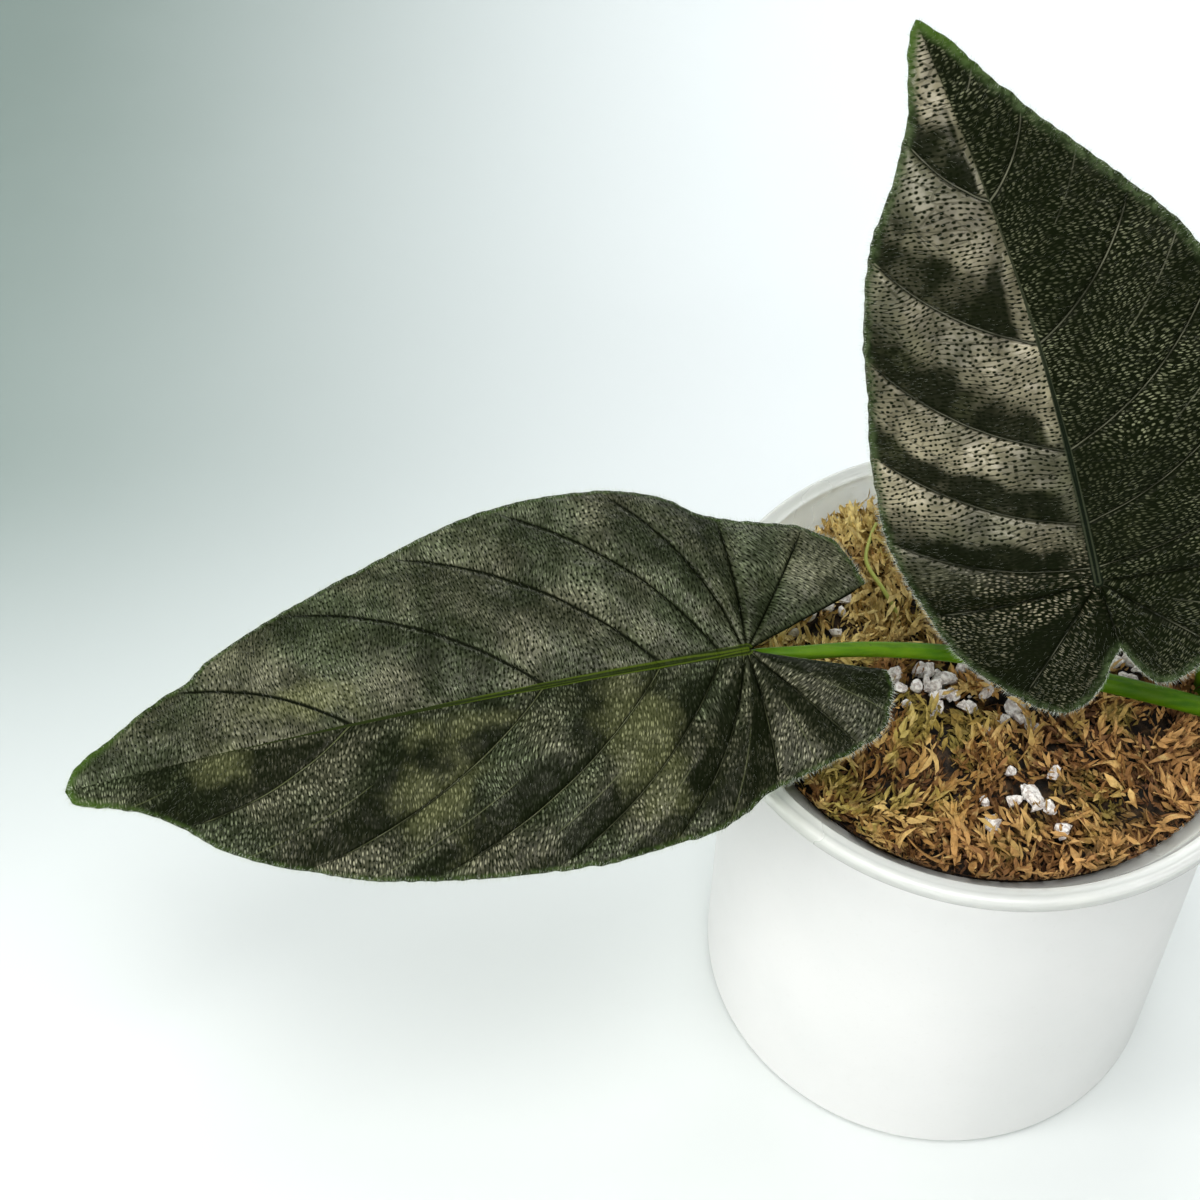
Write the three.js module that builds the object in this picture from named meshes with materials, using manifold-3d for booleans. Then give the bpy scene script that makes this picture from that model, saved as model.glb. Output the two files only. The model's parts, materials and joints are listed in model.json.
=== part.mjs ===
// Potted Alocasia chienlii: two dark arrow-shaped leaves on green petioles, growing from a corm
// in shredded sphagnum moss, in a clear plastic pot that hangs in a plain white cover pot.
// Millimetres, +Z up. The origin is the middle of the cover pot's underside.

import * as THREE from "three";
import { mergeVertices } from "three/addons/utils/BufferGeometryUtils.js";
import Module from "manifold-3d";

const wasm = await Module();
wasm.setup();

// Driving dimensions
const coverHeight = 97.9;
const coverTopRadius = 48.8;
const coverBaseRadius = 50;
const coverWall = 1.3;
const coverFloor = 2;

const rimHeight = 106.2;
const rimRadius = 55;
const lipWidth = 3.4;
const lipDepth = 3;
const lipThickness = 1.8;
const innerWall = 0.9;
const innerFloorZ = 3;
const innerBaseRadius = 43;
const innerBaseRound = 1.5;
const innerNeckRadius = 47.2;
const drainHoles = 8;
const drainHoleRadius = 3;
const drainCircleRadius = 26;

const mossEdgeZ = 101.2;
const mossMound = 2.4;
const gap = 0.4;
const potSides = 48;

// Moss shreds: a pair is the smallest and the largest that one draws
const shredCount = 58;
const shredSpread = 43;
const shredHalfLength = [5.5, 9];
const shredHalfWidth = [1.6, 2.5];
const shredHalfThickness = 0.9;
const shredArch = [2.3, 3.8];
const shredSink = 0.9;

const bladeThickness = 0.9;
const midribDepth = 1.1;
const petioleThin = 1.2;
const petioleThick = 1.85;
const petioleBase = 2.1;

// Leaf places: where the petiole meets the blade, and how the blade is turned there.
// A blade's own frame has x towards its tip, y towards its left half, z out of its upper face.
// The higher ribPower is, the further forward the side veins run.
const restingLeaf = {
  place: new THREE.Vector3(-48.4, -13.2, 124),
  toTip: new THREE.Vector3(-0.981, -0.191, -0.017),
  upperFace: new THREE.Vector3(0.033, -0.257, 0.966),
  length: 124,
  bow: 0,
  droop: 0.0009,
  droopFrom: 0,
  fold: 0.1,
  curl: 0.0028,
  sinusAngle: 160,
  ribPower: 3,
  leftMargin: [
    [124, 0], [122, 3.2], [115, 6], [108, 9.4], [102, 14], [96.9, 18.4], [89, 22.8], [82.8, 25.2],
    [72.7, 29], [63.6, 31], [55.3, 32.6], [44.5, 34], [33.7, 34.8], [25.8, 34.3], [17.7, 33.3],
    [11.4, 32.2], [7, 30.2], [1, 26.8], [-8, 24.3], [-16.7, 21.7], [-20.4, 19.6], [-22, 16.6],
    [-23.9, 12], [-23.6, 8.6],
  ],
  rightMargin: [
    [124, 0], [121.4, -4], [113.7, -8], [106, -12], [100.3, -14.3], [95.7, -17.7], [87.3, -21.8],
    [76, -26.5], [64.2, -30.6], [53.6, -33.9], [44, -36.1], [34, -36.9], [23.6, -36.8],
    [16.4, -35.7], [8.6, -33], [3.5, -28.9], [-2, -26.6], [-13.4, -22.9], [-17.7, -20.2],
    [-20.7, -17.6], [-22.3, -13.6], [-23.9, -8.7],
  ],
};

const uprightLeaf = {
  place: new THREE.Vector3(11.4, -12.4, 142),
  toTip: new THREE.Vector3(-0.38, 0.407, 0.83),
  upperFace: new THREE.Vector3(-0.294, -0.905, 0.309),
  length: 100.5,
  bow: -3.2,
  droop: 0.0007,
  droopFrom: 20,
  fold: 0.12,
  curl: 0.003,
  sinusAngle: 180,
  ribPower: 2,
  leftMargin: [
    [100.5, 0], [97.4, 2.2], [92.2, 3.8], [87, 5.6], [82.5, 8], [78.1, 10.8], [74.6, 13.4],
    [71, 16.4], [66, 19.4], [58.8, 22.6], [51.2, 25.4], [43, 27.4], [35.3, 29.8], [25.6, 31.7],
    [16.6, 32.8], [7.4, 32.2], [1.7, 31.1], [-4.9, 29.7], [-11.1, 27], [-16.2, 23], [-19.8, 19.4],
    [-22.5, 16.1], [-23.7, 12], [-22.2, 7.8], [-19.4, 4.6], [-15.8, 2], [-13.7, 0],
  ],
  rightMargin: [
    [100.5, 0], [97.5, -3.2], [93.4, -5.9], [89, -8.5], [85.6, -11], [81.4, -13.9], [77.3, -17.2],
    [73, -20.3], [69.5, -22.9], [66.2, -25.2], [62.2, -27.9], [58.6, -29.9], [53.7, -32],
    [44, -35], [34, -36.8], [23, -37], [12, -35.4], [2, -32.4], [-7, -28], [-14.5, -20.4],
    [-19.2, -12.4], [-21.2, -7.4], [-21.2, -4.4], [-18.6, -2.2], [-15.6, -0.8], [-13.7, 0],
  ],
};

// The petioles' middle lines, from the blade down through the moss to the corm
const restingPetioleRoute = [
  [-50.4, -13, 121.9], [-45.5, -12.6, 121.9], [-38.6, -11.9, 121.6], [-27.2, -10.2, 120.5],
  [-12.2, -8.3, 117.2], [0.4, -8.6, 114.6], [18.6, -10.5, 111.2], [36.8, -12.9, 107],
  [41.2, -12.4, 103.6], [42, -11.4, 99.5], [40.4, -10.9, 94], [37.9, -10.4, 86.4],
];
const uprightPetioleRoute = [
  [12, -10.4, 141.3], [15.6, -8.6, 139.4], [22.4, -5.6, 135.6], [29, -3.6, 129.6],
  [34.6, -3.2, 121.4], [38.6, -3.8, 111.4], [40.2, -4.6, 103], [39.2, -5, 96], [36.2, -5.3, 86.4],
];

const cormPlace = new THREE.Vector3(36.6, -7.8, 0);
const cormTopZ = 85.6;
const cormRadius = 6;
const cormLength = 17;
const cormHoleRadius = 7.2;
const rootLength = 22;
const rootRadius = 0.75;
const rootCount = 6;

// Perlite: the middle of each cluster, and how many grains it has
const grainRadius = 1.9;
const grainSize = [0.85, 1.15];
const grainSpacing = 1.55;
const grainLift = 1.2;
const perliteClusters = [
  { name: "perlite_left", x: -11.4, y: -6.4, grains: 7 },
  { name: "perlite_middle", x: 3.9, y: -11.4, grains: 3 },
  { name: "perlite_right", x: 28, y: 0.5, grains: 6 },
  { name: "perlite_front", x: 4, y: -31.5, grains: 3 },
  { name: "perlite_back", x: 16, y: 30, grains: 5 },
  { name: "perlite_side", x: -34, y: 14, grains: 4 },
];

const sproutRoute = [
  [-16.6, 10.4, 99], [-17, 11.6, 104.4], [-19.4, 15.6, 107], [-22.2, 22.4, 107.6], [-20.6, 30, 106.6],
  [-18.8, 35.4, 104.6],
];
const sproutRadius = 0.6;

// Turned by this angle each time, things spread evenly, as seeds do on a flower's disc
const goldenAngle = Math.PI * (3 - Math.sqrt(5));

// The same draws every time, from a counter that is multiplied and wrapped round
function seededRandom(seed) {
  const multiplier = 1664525;
  const increment = 1013904223;
  const range = 2 ** 32;
  let state = seed;
  return () => {
    state = (state * multiplier + increment) % range;
    return state / range;
  };
}

function between([low, high], random) {
  return low + (high - low) * random();
}

function finish(colour, roughness, metalness = 0) {
  return new THREE.MeshStandardMaterial({ color: colour, roughness, metalness });
}

function named(name, geometry, material) {
  const mesh = new THREE.Mesh(geometry, material);
  mesh.name = name;
  return mesh;
}

// A closed mesh with its shared corners merged, as a solid that can be joined and cut
function solidOf(geometry) {
  const bare = geometry.clone();
  bare.deleteAttribute("normal");
  bare.deleteAttribute("uv");
  const merged = mergeVertices(bare, 1e-4);
  return new wasm.Manifold(new wasm.Mesh({
    numProp: 3,
    vertProperties: new Float32Array(merged.attributes.position.array),
    triVerts: new Uint32Array(merged.index.array),
  }));
}

function geometryOf(solid) {
  const mesh = solid.getMesh();
  const geometry = new THREE.BufferGeometry();
  geometry.setAttribute("position", new THREE.BufferAttribute(new Float32Array(mesh.vertProperties), 3));
  geometry.setIndex(new THREE.BufferAttribute(new Uint32Array(mesh.triVerts), 1));
  geometry.computeVertexNormals();
  return geometry;
}

// Cutting can leave loose scraps: the largest body is the piece
function largestBody(solid) {
  const bodies = solid.decompose();
  return bodies.reduce((best, body) => (body.volume() > best.volume() ? body : best));
}

// A lathed wall stands up the Z axis
function turned(profile, segments) {
  const geometry = new THREE.LatheGeometry(profile.map(([r, z]) => new THREE.Vector2(r, z)), segments);
  geometry.rotateX(Math.PI / 2);
  return geometry;
}

// The points of a quarter round from one side of a corner to the other
function roundCorner(cx, cz, radius, fromDegrees, toDegrees, steps) {
  const points = [];
  for (let i = 0; i <= steps; i += 1) {
    const angle = THREE.MathUtils.degToRad(fromDegrees + ((toDegrees - fromDegrees) * i) / steps);
    points.push([cx + radius * Math.cos(angle), cz + radius * Math.sin(angle)]);
  }
  return points;
}

function route(points) {
  return new THREE.CatmullRomCurve3(points.map((p) => new THREE.Vector3(...p)), false, "catmullrom", 0.5);
}

// A round stem along a curve, whose radius changes from one end to the other
function stem(curve, radiusAt, steps, sides) {
  const circle = new THREE.Shape();
  for (let i = 0; i < sides; i += 1) {
    const angle = (2 * Math.PI * i) / sides;
    const move = i === 0 ? "moveTo" : "lineTo";
    circle[move](Math.cos(angle), Math.sin(angle));
  }
  const geometry = new THREE.ExtrudeGeometry(circle, { extrudePath: curve, steps, curveSegments: 1 });
  const position = geometry.attributes.position;
  const middles = Array.from({ length: steps + 1 }, (_, i) => curve.getPointAt(i / steps));
  const point = new THREE.Vector3();
  for (let i = 0; i < position.count; i += 1) {
    point.fromBufferAttribute(position, i);
    let nearest = 0;
    middles.forEach((middle, k) => {
      if (point.distanceTo(middle) < point.distanceTo(middles[nearest])) nearest = k;
    });
    const middle = middles[nearest];
    point.sub(middle).multiplyScalar(radiusAt(nearest / steps)).add(middle);
    position.setXYZ(i, point.x, point.y, point.z);
  }
  return geometry;
}

// The white cover pot: a plain, nearly straight cup with a small foot round and a soft top edge
function coverPot() {
  const footRound = 3;
  const inside = coverTopRadius - coverWall;
  const insideBase = coverBaseRadius - coverWall;
  const edge = coverWall / 2;
  return turned([
    [0, 0],
    ...roundCorner(coverBaseRadius - footRound, footRound, footRound, -90, 0, 3),
    ...roundCorner(coverTopRadius - edge, coverHeight - edge, edge, 0, 180, 3),
    [inside, coverHeight - 2 * edge],
    ...roundCorner(insideBase - footRound, coverFloor + footRound, footRound, 0, -90, 2),
    [0, coverFloor],
  ], potSides);
}

// The clear pot: a thin cup that narrows below its shoulder, which rests on the cover pot's edge.
// Above the shoulder it widens to a flat lip with a turned-down edge.
const shoulderZ = coverHeight + gap;
const neckInside = innerNeckRadius - innerWall;
const shoulderOutside = coverTopRadius + 0.6;
const mouthRadius = rimRadius - lipWidth;

function innerPot() {
  const skirtWall = 1.1;
  const edge = 0.6;
  const flare = 0.7;
  const slope = 0.2;
  const plateUnderside = rimHeight - lipThickness;
  const skirtBottom = rimHeight - lipDepth;
  const floorTop = innerFloorZ + innerWall;
  let pot = solidOf(turned([
    [0, innerFloorZ],
    [innerBaseRadius - innerBaseRound, innerFloorZ],
    [innerBaseRadius, innerFloorZ + innerBaseRound],
    [innerNeckRadius, shoulderZ],
    [shoulderOutside, shoulderZ],
    [mouthRadius + slope, plateUnderside],
    [rimRadius - skirtWall, plateUnderside],
    [rimRadius - skirtWall, skirtBottom],
    [rimRadius, skirtBottom],
    ...roundCorner(rimRadius - edge, rimHeight - edge, edge, 0, 90, 2),
    [mouthRadius, rimHeight - edge / 2],
    [mouthRadius - flare, plateUnderside],
    [shoulderOutside - innerWall, shoulderZ + innerWall],
    [neckInside, shoulderZ + innerWall - slope],
    [innerBaseRadius - innerWall, floorTop + innerBaseRound],
    [innerBaseRadius - innerBaseRound - innerWall, floorTop],
    [0, floorTop],
  ], potSides));
  const drillLength = 4 * innerWall;
  for (let i = 0; i < drainHoles; i += 1) {
    const angle = (2 * Math.PI * i) / drainHoles;
    const drill = new THREE.CylinderGeometry(drainHoleRadius, drainHoleRadius, drillLength, 8);
    drill.rotateX(Math.PI / 2);
    drill.translate(drainCircleRadius * Math.cos(angle), drainCircleRadius * Math.sin(angle), innerFloorZ);
    pot = pot.subtract(solidOf(drill));
  }
  return geometryOf(pot);
}

// The height of the moss: a low mound that sinks a little to its edge. Three crossing waves, which
// die out near the edge, give it lumps.
function mossHeight(x, y) {
  const edgeWidth = 8;
  const r = Math.hypot(x, y);
  const mound = mossMound * (1 - (r / mouthRadius) ** 2);
  const lumps = 0.7 * Math.sin(0.21 * x + 1.3) * Math.cos(0.17 * y - 0.4)
    + 0.5 * Math.sin(0.43 * x - 0.35 * y) + 0.35 * Math.cos(0.61 * y + 0.3 * x + 2);
  return mossEdgeZ + mound + lumps * Math.min(1, (mouthRadius - r) / edgeWidth);
}

// The inside of the clear pot up to its shoulder, with a small gap, as a turned outline
const mossTopRadius = shoulderOutside - innerWall;
const mossFloorZ = innerFloorZ + innerWall + gap;
const mossShoulderZ = shoulderZ + innerWall + gap;
const mossWall = [
  [0, mossFloorZ],
  [innerBaseRadius - innerWall - innerBaseRound - gap, mossFloorZ],
  [neckInside - gap, shoulderZ - 1],
  [neckInside - gap, mossShoulderZ],
  [mossTopRadius, mossShoulderZ + 0.7],
];

// The block of moss, with its uneven top face
function mossBlock() {
  const rings = 6;
  const closeTo = 0.01;
  const profile = [...mossWall];
  for (let i = 0; i <= rings; i += 1) {
    profile.push([mossTopRadius * (1 - i / rings), mossEdgeZ]);
  }
  const geometry = turned(profile, potSides);
  const position = geometry.attributes.position;
  for (let i = 0; i < position.count; i += 1) {
    if (position.getZ(i) > mossEdgeZ - closeTo) {
      position.setZ(i, mossHeight(position.getX(i), position.getY(i)));
    }
  }
  return solidOf(geometry);
}

// The room that the pot leaves for moss: shreds that reach past it are cut off there
function mossRoom() {
  const mouth = mouthRadius - 1.6;
  const above = rimHeight + 10;
  const cone = [mouth, rimHeight - lipThickness];
  return solidOf(turned([...mossWall, cone, [mouth, above], [0, above]], potSides));
}

// One shred of moss: a flat spindle bent over, so that both its ends are sunk in the moss
function mossShred(index, random) {
  const out = shredSpread * Math.sqrt((index + random()) / shredCount);
  const around = index * goldenAngle + 0.4 * random();
  const x = out * Math.cos(around);
  const y = out * Math.sin(around);
  const halfLength = between(shredHalfLength, random);
  const geometry = new THREE.SphereGeometry(1, 4, 3);
  geometry.rotateZ(Math.PI / 2);
  geometry.scale(halfLength, between(shredHalfWidth, random), shredHalfThickness);
  const position = geometry.attributes.position;
  const arch = between(shredArch, random);
  const endDrop = 2.1 * arch;
  const sideBend = 1.2;
  for (let i = 0; i < position.count; i += 1) {
    const along = position.getX(i) / halfLength;
    position.setZ(i, position.getZ(i) + arch - endDrop * along * along);
    position.setY(i, position.getY(i) + sideBend * along * along);
  }
  geometry.rotateX(between([-0.25, 0.25], random));
  geometry.rotateZ(2 * Math.PI * random());
  geometry.translate(x, y, mossHeight(x, y) - shredSink);
  return solidOf(geometry);
}

// A perlite grain: a small rough stone with flat faces
function grain(radius, random) {
  const geometry = new THREE.IcosahedronGeometry(radius, 0);
  const wide = [0.85, 1.2];
  const high = [0.8, 1];
  geometry.scale(between(wide, random), between(wide, random), between(high, random));
  geometry.rotateX(Math.PI * random());
  geometry.rotateZ(Math.PI * random());
  return geometry;
}

// A cluster of grains that lie against each other
function perlite(cluster, extra) {
  const random = seededRandom(cluster.grains * 37 + Math.round(cluster.x));
  const depthShare = 0.8;
  let solid = null;
  for (let i = 0; i < cluster.grains; i += 1) {
    const out = grainSpacing * Math.sqrt(i);
    const x = cluster.x + out * Math.cos(i * goldenAngle);
    const y = cluster.y + depthShare * out * Math.sin(i * goldenAngle);
    const geometry = grain(grainRadius * between(grainSize, random) + extra, random);
    geometry.translate(x, y, mossHeight(x, y) + grainLift);
    solid = solid ? solid.add(solidOf(geometry)) : solidOf(geometry);
  }
  return solid;
}

// The corm: a short swollen rhizome, with its roots below it
function corm() {
  const bottom = cormTopZ - cormLength;
  const body = turned([
    [0, bottom], [2.6, bottom + 0.8], [cormRadius - 0.8, bottom + 4.5], [cormRadius, bottom + 8.5],
    [cormRadius - 0.4, bottom + 12.5], [cormRadius - 1.2, cormTopZ - 0.6], [cormRadius - 2, cormTopZ],
    [0, cormTopZ],
  ], 16);
  let solid = solidOf(body);
  for (let i = 0; i < rootCount; i += 1) {
    const angle = (2 * Math.PI * i) / rootCount;
    const out = (r) => [r * Math.cos(angle), r * Math.sin(angle)];
    const root = stem(route([
      [...out(1.2), bottom + 5], [...out(3.6), bottom + 0.6], [...out(4.6), bottom - 8],
      [...out(4), bottom - 15], [...out(4.8), bottom - rootLength],
    ]), (along) => rootRadius * (1.25 - 0.5 * along), 5, 5);
    solid = solid.add(solidOf(root));
  }
  return solid.translate(cormPlace.toArray());
}

// The room in the moss for the corm and its roots, a little longer than both at each end
function cormHole() {
  const spare = 1;
  const depth = cormLength + rootLength + 2 * spare;
  const hole = new THREE.CylinderGeometry(cormHoleRadius, cormHoleRadius, depth, 20);
  hole.rotateX(Math.PI / 2);
  hole.translate(cormPlace.x, cormPlace.y, cormTopZ + spare - depth / 2);
  return solidOf(hole);
}

// A petiole is thin at the blade, has its full width by five eighths of its length, and swells
// towards its base in the last quarter
function petiole(points, extra) {
  const radiusAt = (along) => {
    const widening = THREE.MathUtils.lerp(petioleThin, petioleThick, Math.min(1, along * 1.6));
    const swelling = (petioleBase - petioleThick) * THREE.MathUtils.smoothstep(along, 0.75, 1);
    return extra + widening + swelling;
  };
  return stem(route(points), radiusAt, 26, 8);
}

// The sprout grows thinner by a third to its tip
function sprout(extra) {
  return stem(route(sproutRoute), (along) => extra + sproutRadius * (1 - along / 3), 12, 6);
}

// Where a margin curve first meets a test value, halving from its sign change
function marginPoint(curve, measure) {
  const steps = 400;
  let low = 0;
  while (low < steps && measure(curve.getPoint(low / steps)) > 0) low += 1;
  let from = Math.max(0, low - 1) / steps;
  let to = low / steps;
  for (let i = 0; i < 24; i += 1) {
    const middle = (from + to) / 2;
    if (measure(curve.getPoint(middle)) > 0) from = middle;
    else to = middle;
  }
  return curve.getPoint(to);
}

// The upper face of a blade is drawn along its side veins: each one leaves the midrib, bends
// towards the tip and ends at the margin. Behind the petiole they fan out from one point. The last
// few ribs before the fan straighten gradually, so that no two of them cross.
const frontRibs = 24;
const backRibs = 8;
const ribsBetweenVeins = 4;
const ribSteps = 6;
const ribBend = 0.16;
const fanBend = 0.04;
const fanRibs = 3;
const quiltRise = 1.1;
const marginWave = 0.8;
const fullSwell = 23;

function halfBlade(leaf, side) {
  const margin = route((side > 0 ? leaf.leftMargin : leaf.rightMargin).map(([x, y]) => [x, y, 0]));
  const ribs = [];
  for (let i = 0; i <= frontRibs + backRibs; i += 1) {
    const front = Math.max(0, 1 - i / frontRibs);
    const start = new THREE.Vector3(leaf.length * front ** leaf.ribPower, 0, 0);
    start.y = leaf.bow * Math.sin((Math.PI * start.x) / leaf.length);
    let end;
    if (i === 0) {
      end = margin.getPoint(0);
    } else if (front > 0) {
      end = marginPoint(margin, (p) => p.x - leaf.length * front);
    } else {
      const degrees = 90 + ((leaf.sinusAngle - 90) * (i - frontRibs)) / backRibs;
      const last = i === frontRibs + backRibs;
      const angle = THREE.MathUtils.degToRad(degrees);
      end = last ? margin.getPoint(1) : marginPoint(margin, (p) => angle - Math.atan2(p.y * side, p.x));
    }
    const chord = end.clone().sub(start);
    const behind = Math.max(0, i - frontRibs) / backRibs;
    const toFan = THREE.MathUtils.clamp((i - frontRibs + fanRibs) / fanRibs, 0, 1);
    const share = THREE.MathUtils.lerp(ribBend, fanBend, toFan) * (1 - behind);
    const bend = new THREE.Vector3(-chord.y * side, chord.x * side, 0).multiplyScalar(share);
    const control = start.clone().add(end).multiplyScalar(0.5).add(bend);
    ribs.push({ curve: new THREE.QuadraticBezierCurve3(start, control, end), length: chord.length() });
  }
  return ribs;
}

// The height of the upper face over the blade's own plane
function bladeLift(leaf, point, along, rib, ribLength) {
  const droop = leaf.droop * Math.max(0, point.x - leaf.droopFrom) ** 2;
  const middle = leaf.bow * Math.sin((Math.PI * Math.max(0, point.x)) / leaf.length);
  const across = Math.abs(point.y - middle);
  const fromPetiole = Math.hypot(point.x, point.y);
  const room = Math.min(1, ribLength / fullSwell) * Math.min(1, fromPetiole / fullSwell);
  const phase = (2 * Math.PI * rib) / ribsBetweenVeins;
  const quilt = quiltRise * room * (0.5 - 0.5 * Math.cos(phase)) * Math.sin(Math.PI * along ** 0.8);
  const wave = marginWave * room * along ** 3 * Math.sin(0.45 * phase + point.x * 0.05);
  return -droop + leaf.fold * across - leaf.curl * across * across + quilt + wave;
}

// A blade is one thin closed solid: its two faces have the same triangles, joined along the margin
function blade(leaf) {
  const corners = [];
  const middles = [];
  const known = new Map();
  const triangles = [];
  const corner = (point, along, rib, ribLength) => {
    const key = `${point.x.toFixed(3)} ${point.y.toFixed(3)}`;
    if (!known.has(key)) {
      known.set(key, corners.length);
      corners.push(new THREE.Vector3(point.x, point.y, bladeLift(leaf, point, along, rib, ribLength)));
      middles.push(along === 0 ? point.x / leaf.length : -1);
    }
    return known.get(key);
  };
  const face = (a, b, c, side) => {
    if (a === b || b === c || a === c) return;
    triangles.push(side > 0 ? [a, b, c] : [a, c, b]);
  };
  [1, -1].forEach((side) => {
    const rows = halfBlade(leaf, side).map(({ curve, length }, rib) => (
      Array.from({ length: ribSteps + 1 }, (_, k) => (
        corner(curve.getPoint(k / ribSteps), k / ribSteps, rib, length)
      ))
    ));
    for (let i = 0; i + 1 < rows.length; i += 1) {
      for (let k = 0; k < ribSteps; k += 1) {
        face(rows[i][k], rows[i][k + 1], rows[i + 1][k + 1], side);
        face(rows[i][k], rows[i + 1][k + 1], rows[i + 1][k], side);
      }
    }
  });
  return thickened(corners, middles, triangles);
}

// Both faces of the blade, a margin strip between them, and the midrib standing out below
function thickened(corners, middles, triangles) {
  const sheet = new THREE.BufferGeometry().setFromPoints(corners);
  sheet.setIndex(triangles.flat());
  sheet.computeVertexNormals();
  const normals = sheet.attributes.normal;
  const upper = [];
  const lower = [];
  corners.forEach((point, i) => {
    const normal = new THREE.Vector3().fromBufferAttribute(normals, i);
    const front = middles[i];
    const rise = THREE.MathUtils.smoothstep(front, 0.02, 0.1);
    const midrib = front > 0 ? midribDepth * rise * (1 - front) : 0;
    upper.push(point.clone().addScaledVector(normal, bladeThickness / 2));
    lower.push(point.clone().addScaledVector(normal, -bladeThickness / 2 - midrib));
  });
  const count = corners.length;
  const faces = [];
  const open = new Map();
  triangles.forEach(([a, b, c]) => {
    faces.push([a, b, c], [a + count, c + count, b + count]);
    [[a, b], [b, c], [c, a]].forEach(([from, to]) => {
      if (!open.delete(`${to} ${from}`)) open.set(`${from} ${to}`, [from, to]);
    });
  });
  open.forEach(([from, to]) => {
    faces.push([to, from, from + count], [to, from + count, to + count]);
  });
  const geometry = new THREE.BufferGeometry().setFromPoints([...upper, ...lower]);
  geometry.setIndex(faces.flat());
  geometry.computeVertexNormals();
  return geometry;
}

function leafMesh(name, leaf, material) {
  const mesh = named(name, blade(leaf), material);
  const across = new THREE.Vector3().crossVectors(leaf.upperFace, leaf.toTip);
  const turn = new THREE.Matrix4().makeBasis(
    leaf.toTip.clone().normalize(),
    across.normalize(),
    new THREE.Vector3().crossVectors(leaf.toTip, across).normalize(),
  );
  mesh.setRotationFromMatrix(turn);
  mesh.position.copy(leaf.place);
  return mesh;
}

// Moss, with its shreds joined on and with room for everything that stands or lies in it
function mossBed() {
  const random = seededRandom(11);
  let moss = mossBlock();
  for (let i = 0; i < shredCount; i += 1) {
    moss = moss.add(mossShred(i, random));
  }
  moss = moss.intersect(mossRoom());
  perliteClusters.forEach((cluster) => {
    moss = moss.subtract(perlite(cluster, gap));
  });
  moss = moss.subtract(solidOf(petiole(restingPetioleRoute, gap)));
  moss = moss.subtract(solidOf(petiole(uprightPetioleRoute, gap)));
  moss = moss.subtract(solidOf(sprout(gap)));
  moss = moss.subtract(cormHole());
  return geometryOf(largestBody(moss));
}

const leafGreen = () => finish(0x1d2a1c, 0.42);
const petioleGreen = () => finish(0x6aa61e, 0.5);

const pots = new THREE.Group();
pots.add(named("cover_pot", coverPot(), finish(0xf2f2f0, 0.55)));
pots.add(named("inner_pot", innerPot(), finish(0xdfe6da, 0.2)));

const filling = new THREE.Group();
filling.add(named("moss_bed", mossBed(), finish(0xa0783c, 0.95)));
perliteClusters.forEach((cluster) => {
  filling.add(named(cluster.name, geometryOf(perlite(cluster, 0)), finish(0xece8e2, 0.9)));
});
filling.add(named("sprout", sprout(0), finish(0x8c9a2a, 0.7)));

const plant = new THREE.Group();
plant.add(named("corm", geometryOf(corm()), finish(0x7a5a3a, 0.9)));
plant.add(named("petiole_resting", petiole(restingPetioleRoute, 0), petioleGreen()));
plant.add(named("petiole_upright", petiole(uprightPetioleRoute, 0), petioleGreen()));
plant.add(leafMesh("leaf_resting", restingLeaf, leafGreen()));
plant.add(leafMesh("leaf_upright", uprightLeaf, leafGreen()));

const pottedAlocasia = new THREE.Group();
pottedAlocasia.add(pots, filling, plant);

export default pottedAlocasia;
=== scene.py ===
# %% [markdown]
# A potted Alocasia chienlii: two black-green, softly hairy leaves on green petioles, in shredded
# sphagnum moss with perlite, in a clear pot that hangs in a plain white cover pot.
#
# The solids of every piece come first, as a fixed frame. Each cell below makes one piece or one
# finish and lets it stand for its solid. Lengths are written in millimetres times `mm`, because
# Blender's own unit is the metre.

# %% Load the frame
import json
import math

import bmesh
import bpy
import numpy as np
from mathutils import Euler, Matrix, Vector, kdtree, noise

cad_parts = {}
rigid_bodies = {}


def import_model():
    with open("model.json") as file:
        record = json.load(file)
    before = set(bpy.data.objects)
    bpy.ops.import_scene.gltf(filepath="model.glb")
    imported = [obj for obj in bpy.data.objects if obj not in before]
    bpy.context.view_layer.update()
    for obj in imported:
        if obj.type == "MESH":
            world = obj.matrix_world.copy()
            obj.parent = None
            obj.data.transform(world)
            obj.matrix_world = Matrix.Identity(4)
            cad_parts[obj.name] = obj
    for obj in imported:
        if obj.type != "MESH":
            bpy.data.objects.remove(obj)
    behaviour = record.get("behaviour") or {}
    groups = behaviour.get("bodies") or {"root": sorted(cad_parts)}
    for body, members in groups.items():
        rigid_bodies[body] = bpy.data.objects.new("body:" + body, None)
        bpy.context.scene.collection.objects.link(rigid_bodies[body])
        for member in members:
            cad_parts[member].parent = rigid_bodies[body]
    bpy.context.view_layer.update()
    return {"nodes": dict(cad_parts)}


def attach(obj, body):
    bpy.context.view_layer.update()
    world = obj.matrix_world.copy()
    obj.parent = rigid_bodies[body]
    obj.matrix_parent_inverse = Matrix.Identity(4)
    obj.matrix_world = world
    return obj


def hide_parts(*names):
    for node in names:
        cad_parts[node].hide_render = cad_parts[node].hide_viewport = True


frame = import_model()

mm = 0.001
print("nodes in the frame:", ", ".join(sorted(frame["nodes"])))

# %% [markdown]
# ## The camera
# The photograph looks down at the plant from the front, and the pot stands at its right edge. The
# pot's round rim and foot fix the camera: a 60 mm lens on a 36 mm frame, 0.4 m above the table.

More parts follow.
